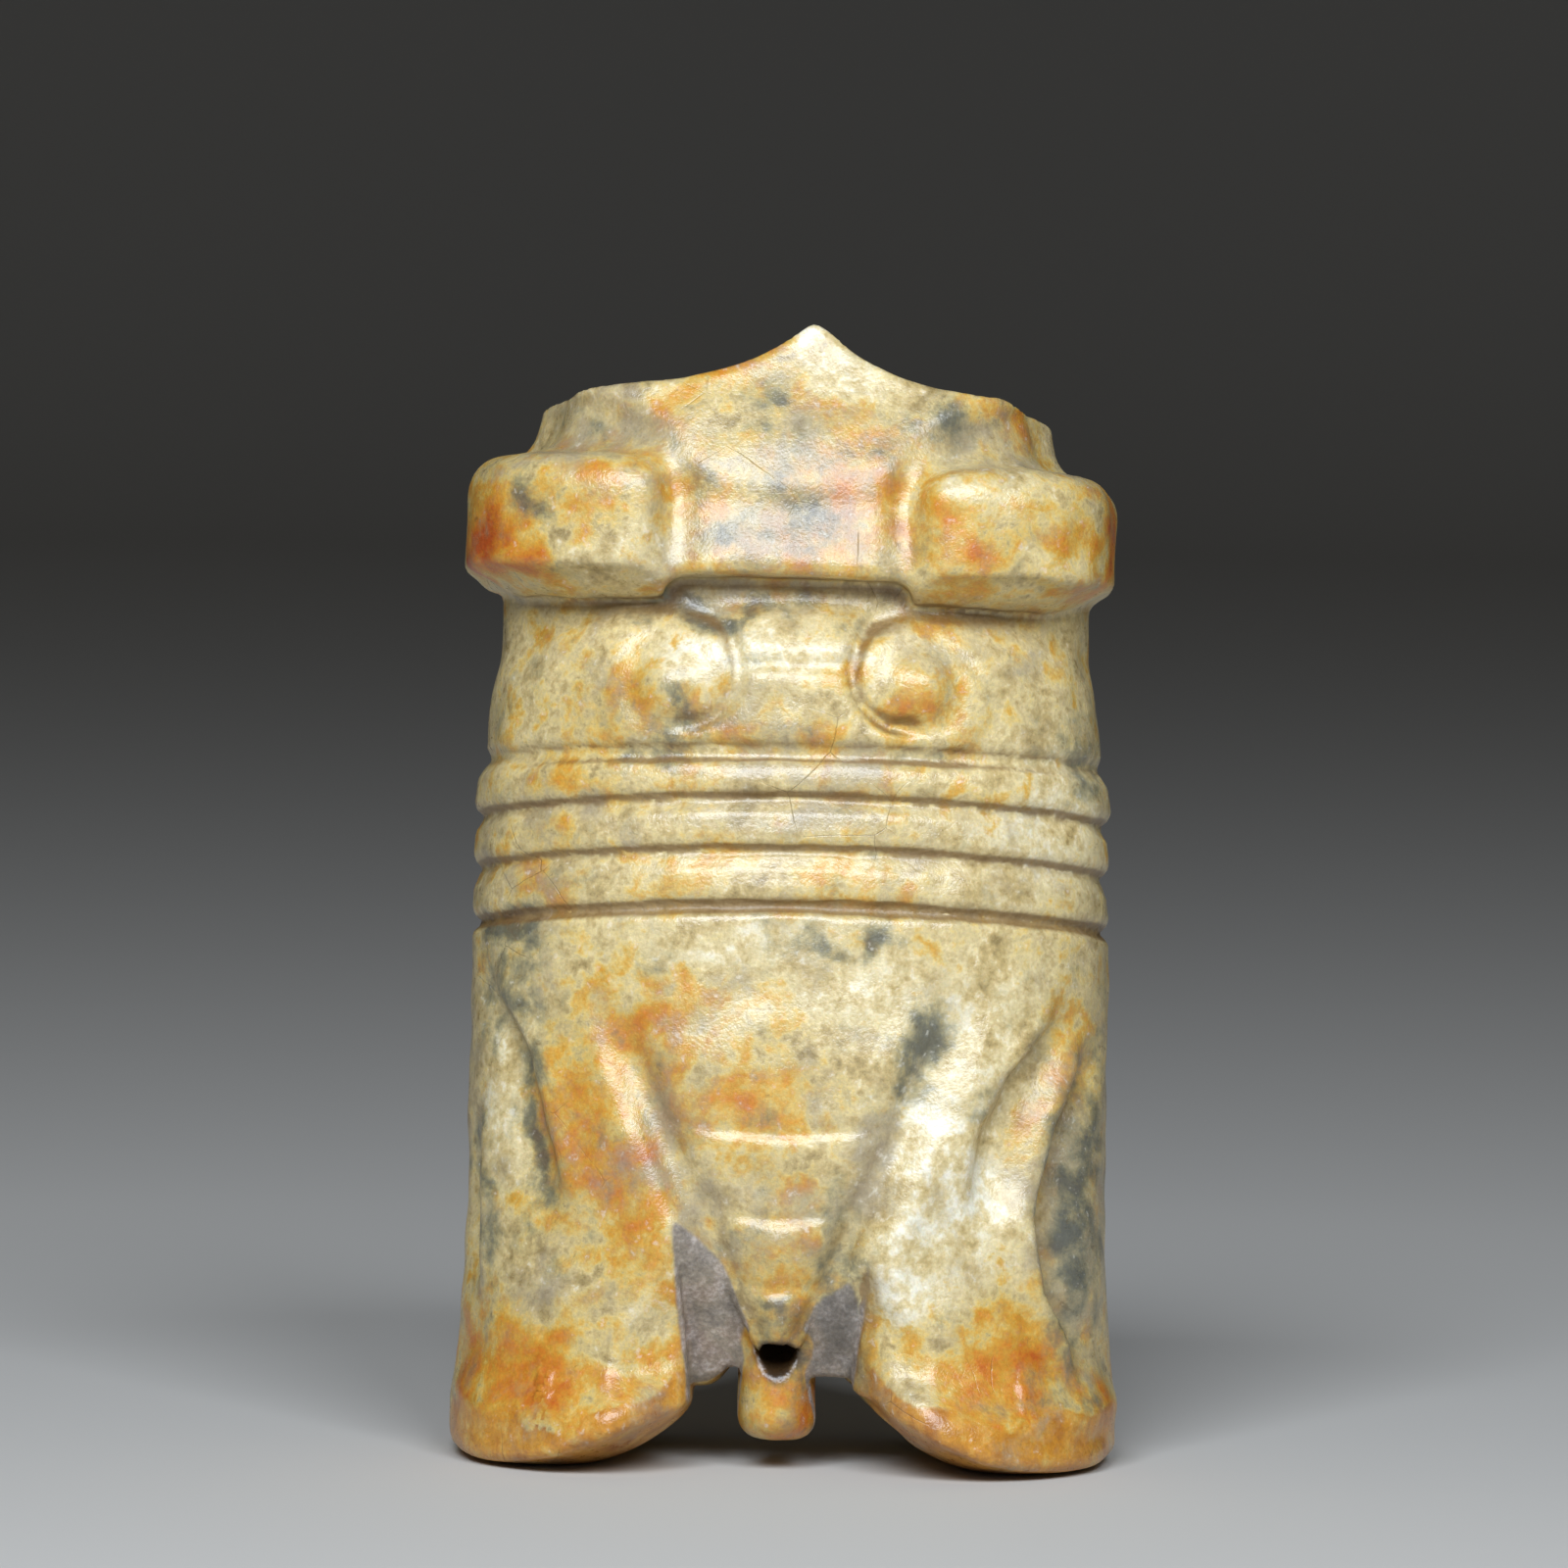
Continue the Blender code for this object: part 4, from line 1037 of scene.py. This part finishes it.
# Each hollow: its place across and up the front, its radius and its depth
CHIPS = (
    (0.0070, 0.0274, 0.00030, 0.00014),
    (0.0075, 0.0273, 0.00025, 0.00012),
    (0.0063, 0.0274, 0.00022, 0.00009),
    (0.0098, 0.0011, 0.00025, 0.00010),
    (-0.0009, 0.0090, 0.00040, 0.00008),
    (-0.0023, 0.0084, 0.00018, 0.00008),
    (-0.0102, 0.0017, 0.00035, 0.00012),
    (0.0034, 0.0056, 0.00030, 0.00007),
)


def chips(points):
    """Depth of the small chips and pits on the carved side."""
    depth = np.zeros(len(points))
    for across, height, radius, deep in CHIPS:
        away = np.hypot(points[:, 0] - across, points[:, 2] - height)
        depth = depth + deep * mound(away, radius) * (points[:, 1] < 0.0)
    return depth


above_floor = ramp(points[:, 2], 0.0, FLAT_KEPT)
rubbed = (0.5 + 0.5 * waves(points, EDGE_SEED)).clip(0.0, 1.0)
worn = WAVE_HEIGHT * waves(points, WAVE_SEED) - EDGE_WEAR * edge * rubbed
# A soft ridge on the wings, just outside the grooves of the V
v_border = v_half_width(points[:, 2])
along_v = within(points[:, 2], *V_RIDGE_HEIGHTS) * in_front
worn = worn + V_RIDGE * along_v * mound(np.abs(points[:, 0]) - v_border - V_RIDGE_AWAY, V_RIDGE_WIDTH)
# A raised line where the hollow of each tip meets its lip, and the hollow above it
worn = worn + LIP_LINE * on_tip * mound(over_edge - LIP, LIP_LINE_WIDTH)
worn = worn - BOWL_DEPTH * on_tip * mound(over_edge - LIP - BOWL_ABOVE, BOWL_WIDTH)
finished = points + outward * ((worn - chips(points)) * above_floor)[:, None]
print("wear up to", round(float(np.abs(worn).max()) / MM, 3), "mm")

# %% [markdown]
# ## The piece
# The finished points become one mesh. It is set into the box of the measured part, which stretches or
# narrows it by less than half a percent, rides on the part's only body and stands for its only node. The
# masks go with it as named attributes that the material can read.

# %% Build the carving
def placed(name, data):
    """Makes an object of a mesh, lamp or camera and puts it in the scene."""
    made = bpy.data.objects.new(name, data)
    bpy.context.scene.collection.objects.link(made)
    return made


def carving_of(points, quads):
    mesh = bpy.data.meshes.new("jade_cicada_carving")
    mesh.from_pydata(points.tolist(), [], quads.tolist())
    mesh.shade_smooth()
    for name, values in masks.items():
        mask = mesh.attributes.new(name, "FLOAT", "POINT")
        mask.data.foreach_set("value", values.astype(np.float32))
    return placed("jade_cicada_carving", mesh)


lowest, highest = finished.min(0), finished.max(0)
fitted = np.array(cad_low) + (finished - lowest) * np.array(cad_high - cad_low) / (highest - lowest)
carving = carving_of(fitted, quads)
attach(carving, "root")
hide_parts("jade_cicada")
print("carving:", [round(float(size) / MM, 2) for size in highest - lowest], "mm")

# %% [markdown]
# ## Polished mottled jade
# The stone is nephrite: a felt of fibres finer than dust, so it takes a waxy gloss and lets a little light
# in. Its index of refraction is about 1.61. Colour comes from iron and burial, in layers: a cream ground,
# iron from straw to rust, a grey veil, moss to slate grey, dark specks and hairline cracks. An image
# would be quick but belongs to one view. Noise in the stone's own millimetres runs through the piece.

# %% A colour and a node
def linear(code):
    """An sRGB hex colour as linear values for a shader."""
    channels = [int(code[start : start + 2], 16) / 255 for start in (1, 3, 5)]
    return tuple(c / 12.92 if c <= 0.04045 else ((c + 0.055) / 1.055) ** 2.4 for c in channels) + (1.0,)


def add(tree, kind, settings=None, stops=(), **links):
    """Adds a node with its settings, a ramp's (place, colour) stops, and values or sockets as inputs."""
    node = tree.nodes.new("ShaderNode" + kind)
    for name, value in (settings or {}).items():
        setattr(node, name, value)
    if stops:
        elements = node.color_ramp.elements
        while len(elements) < len(stops):
            elements.new(0.5)
        for element, (place, code) in zip(elements, stops):
            element.position = place
            element.color = linear(code)
    for name, value in links.items():
        socket = node.inputs[int(name[1:]) if name[0] == "_" else name.replace("_", " ")]
        if isinstance(value, bpy.types.NodeSocket):
            tree.links.new(value, socket)
        else:
            socket.default_value = value
    return node


print("cream:", [round(c, 3) for c in linear("#DDCB9A")[:3]])

# %% Patterns at real sizes
CLOUD_MM = 2.6
PATCH_MM = 0.95
SPECK_MM = 0.55
CRACK_MM = 2.2
# Nephrite's fibres are far finer than a tenth of a millimetre. Felt and grain are drawn this coarse to show
FELT_MM = 0.30
GRAIN_MM = 0.11


def patterns(tree):
    """Noise in the stone's own millimetres. A pattern's scale is one over its size."""
    place = add(tree, "TexCoord").outputs["Object"]
    mm = add(tree, "VectorMath", {"operation": "SCALE"}, _0=place, Scale=1.0 / MM).outputs[0]

    def noise(size, detail, rough, bend=0.0, offset=0.0):
        away = (offset, -offset, 2 * offset)
        moved = add(tree, "VectorMath", {"operation": "ADD"}, _0=mm, _1=away).outputs[0]
        made = add(
            tree, "TexNoise", Vector=moved, Scale=1.0 / size, Detail=detail, Roughness=rough, Distortion=bend
        )
        return made.outputs["Fac"]

    return {
        "mm": mm,
        "cloud": noise(CLOUD_MM, 6.0, 0.58, 0.4),
        "veil": noise(CLOUD_MM * 0.7, 7.0, 0.64, 0.3, 7.0),
        "patch": noise(PATCH_MM, 5.0, 0.62, 0.3, 13.0),
        "moss_and_shade": noise(PATCH_MM * 1.2, 6.0, 0.64, 0.2, 23.0),
        "felt": noise(FELT_MM, 3.0, 0.60, 0.2, 31.0),
        "grain": noise(GRAIN_MM, 2.0, 0.6, 0.0, 41.0),
        "speck": noise(SPECK_MM, 4.0, 0.7, 0.6, 53.0),
        "broad": noise(CLOUD_MM * 2.5, 3.0, 0.5, 0.0, 61.0),
    }


print("patterns from", GRAIN_MM, "to", CLOUD_MM, "mm")

# %% Two steps of the recipe
def weighted(tree, *terms):
    """Adds up patterns and masks, each times its weight."""
    total = 0.0
    for value, weight in terms:
        total = add(tree, "Math", {"operation": "MULTIPLY_ADD"}, _0=value, _1=weight, _2=total).outputs[0]
    return total


def laid(tree, below, above, amount, start=0.0, end=1.0, share=1.0, curve="SMOOTHSTEP"):
    """Lays one colour over another where an amount rises from start to end, up to a share."""
    rise = {"Value": amount, "From_Min": start, "From_Max": end, "To_Max": share}
    cover = add(tree, "MapRange", {"interpolation_type": curve}, **rise).outputs[0]
    return add(tree, "Mix", {"data_type": "RGBA"}, Factor=cover, _6=below, _7=above).outputs[2]

print("steps:", weighted.__name__, "and", laid.__name__)

# %% [markdown]
# The layers go on from the ground up: cream, then iron, veil and moss, where a few moss stains are painted
# shade, then specks and flecks, and last the brown in the hollows, partly patina and partly painted shade.
# Each follows a sum of noise and mask, so a stain has a ragged edge and a little of it strays. Straw and
# rust
# are one scale: the more iron, the darker.

# %% Colours of the stone
def stone_colour(tree, made, mask):
    """Cream ground, iron, orange lips, veil, grey-green stains with some painted shade, dark specks, pale
    flecks, and brown that is partly patina and partly painted shade.
    """
    # The pale mask lightens the ground and holds back the darker layers; at the wing ridges it is a painted
    # highlight.
    ground = weighted(
        tree, (made["cloud"], 0.32), (made["patch"], 0.46), (made["felt"], 0.22), (mask["pale"], 0.05)
    )
    cream = ((0.37, "#A08B5B"), (0.45, "#C6AF78"), (0.525, "#DDCB9A"), (0.61, "#EDE8D2"))
    colour = add(tree, "ValToRGB", stops=cream, Fac=ground).outputs["Color"]

    iron = weighted(
        tree, (made["cloud"], 0.9), (made["patch"], 1.3), (made["felt"], 0.5), (mask["iron"], 0.44),
        (mask["rust"], 0.58), (mask["pale"], -0.32), (1.0, -1.18),
    )
    straw_to_rust = (
        (0.08, "#DDD09A"), (0.26, "#D8BA68"), (0.44, "#CF9A3A"), (0.64, "#CB812A"), (0.95, "#B4511C"),
    )
    iron_colour = add(tree, "ValToRGB", stops=straw_to_rust, Fac=iron).outputs["Color"]
    colour = laid(tree, colour, iron_colour, iron, 0.06, 0.36)

    lip = weighted(tree, (mask["rim"], 1.0), (made["patch"], 0.9))
    orange = ((0.38, "#B06C1C"), (0.54, "#CC8E31"), (0.68, "#D8B260"))
    lip_colour = add(tree, "ValToRGB", stops=orange, Fac=made["patch"]).outputs["Color"]
    colour = laid(tree, colour, lip_colour, lip, 0.80, 1.20, 0.9)

    veil = weighted(
        tree, (made["veil"], 1.0), (made["felt"], 0.3),
        (mask["veil"], 0.26), (mask["pale"], -0.10), (mask["rust"], -0.3),
    )
    colour = laid(tree, colour, linear("#988C78"), veil, 0.60, 0.92, 0.75)

    # Grey-green moss stains, and at a few listed places painted shade laid with the same colours.
    moss_and_shade = weighted(
        tree, (made["moss_and_shade"], 1.0), (made["felt"], 0.2), (mask["moss_and_shade"], 0.44),
        (mask["rim"], -0.15), (mask["pale"], -0.1),
    )
    green_grey = ((0.64, "#ADA278"), (0.80, "#7E7B60"), (0.98, "#4A504C"))
    moss_and_shade_colour = add(tree, "ValToRGB", stops=green_grey, Fac=moss_and_shade).outputs["Color"]
    colour = laid(tree, colour, moss_and_shade_colour, moss_and_shade, 0.59, 0.93, 0.85)

    speck = weighted(tree, (made["speck"], 1.0), (mask["moss_and_shade"], 0.08), (mask["pale"], -0.1))
    colour = laid(tree, colour, linear("#5A4C30"), speck, 0.64, 0.76, 0.5)
    fleck = weighted(tree, (made["felt"], 1.0), (mask["pale"], 0.10), (mask["rust"], -0.1))
    colour = laid(tree, colour, linear("#F0EBDA"), fleck, 0.61, 0.76, 0.35)
    # Brown in the hollows: partly patina, partly painted shade where the stone closes in round a point.
    patina_and_shade = weighted(
        tree, (mask["hollow"], 1.1), (mask["broad_hollow"], 0.6), (made["patch"], 0.5), (1.0, -0.30)
    )
    return laid(tree, colour, linear("#76552A"), patina_and_shade, 0.10, 0.95, 0.75)

print("dark end of the lips:", [round(c, 3) for c in linear("#B06C1C")[:3]])

# %% Cracks, saw faces and shade
def hairlines(tree, made):
    """1 along fine cracks, which show in a few broad areas only."""
    bent = add(tree, "Mix", {"data_type": "VECTOR"}, Factor=0.12, _4=made["mm"], _5=made["patch"]).outputs[1]
    crack = add(tree, "TexVoronoi", {"feature": "DISTANCE_TO_EDGE"}, Vector=bent, Scale=1.0 / CRACK_MM)
    smooth = {"interpolation_type": "SMOOTHSTEP"}
    line = add(tree, "MapRange", smooth, Value=crack.outputs[0], From_Max=0.010, To_Min=1.0, To_Max=0.0)
    area = add(tree, "MapRange", smooth, Value=made["broad"], From_Min=0.59, From_Max=0.66)
    return weighted(tree, (line.outputs[0], area.outputs[0]))


def worked_colour(tree, made, mask, colour, hairline):
    """The stone's colour with dark cracks, grey saw faces with painted shade on the right one, a fine light
    and dark, and painted shade in the hole.
    """
    colour = laid(tree, colour, linear("#5B4426"), hairline, share=0.4, curve="LINEAR")
    grey = ((0.36, "#6F6763"), (0.50, "#8D857F"), (0.62, "#B3ABA5"))
    dust = weighted(tree, (made["patch"], 0.4), (made["felt"], 0.4), (made["grain"], 0.2))
    sawn_colour = add(tree, "ValToRGB", stops=grey, Fac=dust).outputs["Color"]
    # Painted shade: the saw face darkens where the moss mask reaches it, which is the right cut.
    sawn_colour = laid(tree, sawn_colour, linear("#4E463C"), mask["moss_and_shade"], share=0.6, curve="LINEAR")
    colour = laid(tree, colour, sawn_colour, mask["sawn"], 0.3, 0.75, 0.85)
    mottled = weighted(tree, (made["felt"], 0.5), (made["grain"], 0.5))
    rise = {"Value": mottled, "From_Min": 0.36, "From_Max": 0.66, "To_Min": 0.88, "To_Max": 1.10}
    shade = add(tree, "MapRange", {"interpolation_type": "SMOOTHSTEP"}, **rise).outputs[0]
    greys = add(tree, "CombineColor", _0=shade, _1=shade, _2=shade).outputs[0]
    shading = {"data_type": "RGBA", "blend_type": "MULTIPLY"}
    colour = add(tree, "Mix", shading, Factor=1.0, _6=colour, _7=greys).outputs[2]
    # Painted shade: the wall of the drilled hole is coloured near black-brown, as shade inside a hole looks.
    return laid(tree, colour, linear("#3A2917"), mask["bore_shade"], curve="LINEAR")

print("cracks about", CRACK_MM, "mm apart")

# %% [markdown]
# What is left is the finish. Rubbing gave a waxy gloss, a little duller in the hollows and matt on the saw
# faces. A little light passes under the skin of the stone, and a bump of a few hundredths of a millimetre
# breaks the highlights. A clear coat would give crisper glints, but it would also make the head brighter.
# A clear coat was tried for crisper glints, but it made the head too bright.

# %% The jade
def jade():
    material = bpy.data.materials.new("polished_mottled_nephrite")
    material.use_nodes = True
    tree = material.node_tree
    shader = tree.nodes["Principled BSDF"]
    made = patterns(tree)
    mask = {name: add(tree, "Attribute", {"attribute_name": name}).outputs["Fac"] for name in masks}
    hairline = hairlines(tree, made)
    colour = worked_colour(tree, made, mask, stone_colour(tree, made, mask), hairline)
    tree.links.new(colour, shader.inputs["Base Color"])
    smooth = {"interpolation_type": "SMOOTHSTEP"}
    matt = add(tree, "MapRange", smooth, Value=mask["sawn"], From_Min=0.3, From_Max=0.75).outputs[0]
    rough = weighted(tree, (made["felt"], 0.2), (mask["hollow"], 0.2), (matt, 0.40), (1.0, 0.20))
    tree.links.new(rough, shader.inputs["Roughness"])
    shader.inputs["IOR"].default_value = 1.61
    shader.inputs["Subsurface Weight"].default_value = 0.12
    shader.inputs["Subsurface Radius"].default_value = (1.0, 0.55, 0.25)
    shader.inputs["Subsurface Scale"].default_value = 0.0006
    felted = weighted(tree, (made["felt"], 0.25), (made["grain"], 0.75), (hairline, -0.6))
    bump = add(tree, "Bump", Strength=0.6, Distance=0.00004, Height=felted)
    tree.links.new(bump.outputs[0], shader.inputs["Normal"])
    return material


carving.data.materials.append(jade())
print("nodes in the jade:", len(carving.data.materials[0].node_tree.nodes))

# %% [markdown]
# ## The studio
# A plain pale floor, two soft lights in front and above, and a wide weak fill from the camera's side. The
# two lights give the long highlights on collar and ribs and the pair of soft shadows behind the piece.

# %% Floor
FLOOR_RADIUS = 1.0
FLOOR_RISE = 0.6
FLOOR_STEPS = 96
RIM_TURNS = np.linspace(0.1, 1.5, 15)


def floor():
    """A round pale floor whose far rim curves up, so no horizon line shows."""
    rings = [(FLOOR_RADIUS, 0.0)]
    for turn in RIM_TURNS:
        rings.append((FLOOR_RADIUS + FLOOR_RISE * math.sin(turn), FLOOR_RISE * (1.0 - math.cos(turn))))
    corners = [(0.0, 0.0, 0.0)]
    for radius, height in rings:
        for turn in np.linspace(0.0, math.tau, FLOOR_STEPS, endpoint=False):
            corners.append((radius * math.cos(turn), radius * math.sin(turn), height))
    faces = [(0, 1 + k, 1 + (k + 1) % FLOOR_STEPS) for k in range(FLOOR_STEPS)]
    for ring in range(len(rings) - 1):
        first = 1 + ring * FLOOR_STEPS
        for k in range(FLOOR_STEPS):
            after = (k + 1) % FLOOR_STEPS
            faces.append((first + k, first + FLOOR_STEPS + k, first + FLOOR_STEPS + after, first + after))
    mesh = bpy.data.meshes.new("floor")
    mesh.from_pydata(corners, [], faces)
    mesh.shade_smooth()
    plain = bpy.data.materials.new("pale_floor")
    plain.use_nodes = True
    matt = plain.node_tree.nodes["Principled BSDF"]
    matt.inputs["Base Color"].default_value = linear("#C6C4BF")
    matt.inputs["Roughness"].default_value = 0.85
    mesh.materials.append(plain)
    made = placed("floor", mesh)


floor()
print("floor:", 2 * FLOOR_RADIUS, "m across")

# %% Lights
AIM = Vector((0.0, 0.0, 0.018))
# Each light: name, azimuth and elevation in degrees, distance, size and power
LIGHTS = (
    ("key_left", -14.0, 38.0, 0.30, 0.13, 0.76),
    ("key_right", 20.0, 36.0, 0.30, 0.11, 0.50),
    ("front_fill", 0.0, 10.0, 0.40, 0.20, 0.05),
)


def light(name, azimuth, elevation, distance, size, power):
    lamp = bpy.data.lights.new(name, "AREA")
    lamp.size = size
    lamp.energy = power
    lamp.color = linear("#EEF5FF")[:3]
    made = placed(name, lamp)
    turn, rise = math.radians(azimuth), math.radians(elevation)
    away = Vector((math.sin(turn) * math.cos(rise), -math.cos(turn) * math.cos(rise), math.sin(rise)))
    made.location = AIM + distance * away
    made.rotation_euler = (-away).to_track_quat("-Z", "Y").to_euler()


for row in LIGHTS:
    light(*row)
world = bpy.data.worlds.new("studio")
world.use_nodes = True
glow = world.node_tree.nodes["Background"]
glow.inputs["Color"].default_value = linear("#E8E6E2")
glow.inputs["Strength"].default_value = 0.05
bpy.context.scene.world = world
bpy.context.scene.view_settings.view_transform = "Standard"
print("lights:", len(LIGHTS))

# %% [markdown]
# ## The camera
# The photograph looks almost level, three degrees down, from about 30 cm, with the piece filling most of
# the height and tilted by one degree. A long lens at that distance gives the same flat perspective.

# %% Camera
CAMERA_DISTANCE = 0.30
CAMERA_RISE = math.radians(3.0)
CAMERA_ROLL = math.radians(1.0)
CAMERA_TARGET = Vector((-0.0003, 0.0, 0.0209))
SEEN_WIDTH = 0.0487
SENSOR = 36.0

back = Vector((0.0, -math.cos(CAMERA_RISE), math.sin(CAMERA_RISE)))
camera = bpy.data.cameras.new("camera")
camera.sensor_width = SENSOR
camera.lens = SENSOR * CAMERA_DISTANCE / SEEN_WIDTH
camera.clip_start = 0.01
camera_object = placed("camera", camera)
camera_object.location = CAMERA_TARGET + CAMERA_DISTANCE * back
camera_object.rotation_mode = "QUATERNION"
camera_object.rotation_quaternion = (-back).to_track_quat("-Z", "Y") @ Quaternion((0, 0, 1), CAMERA_ROLL)
bpy.context.scene.camera = camera_object
print("lens:", round(camera.lens, 1), "mm")
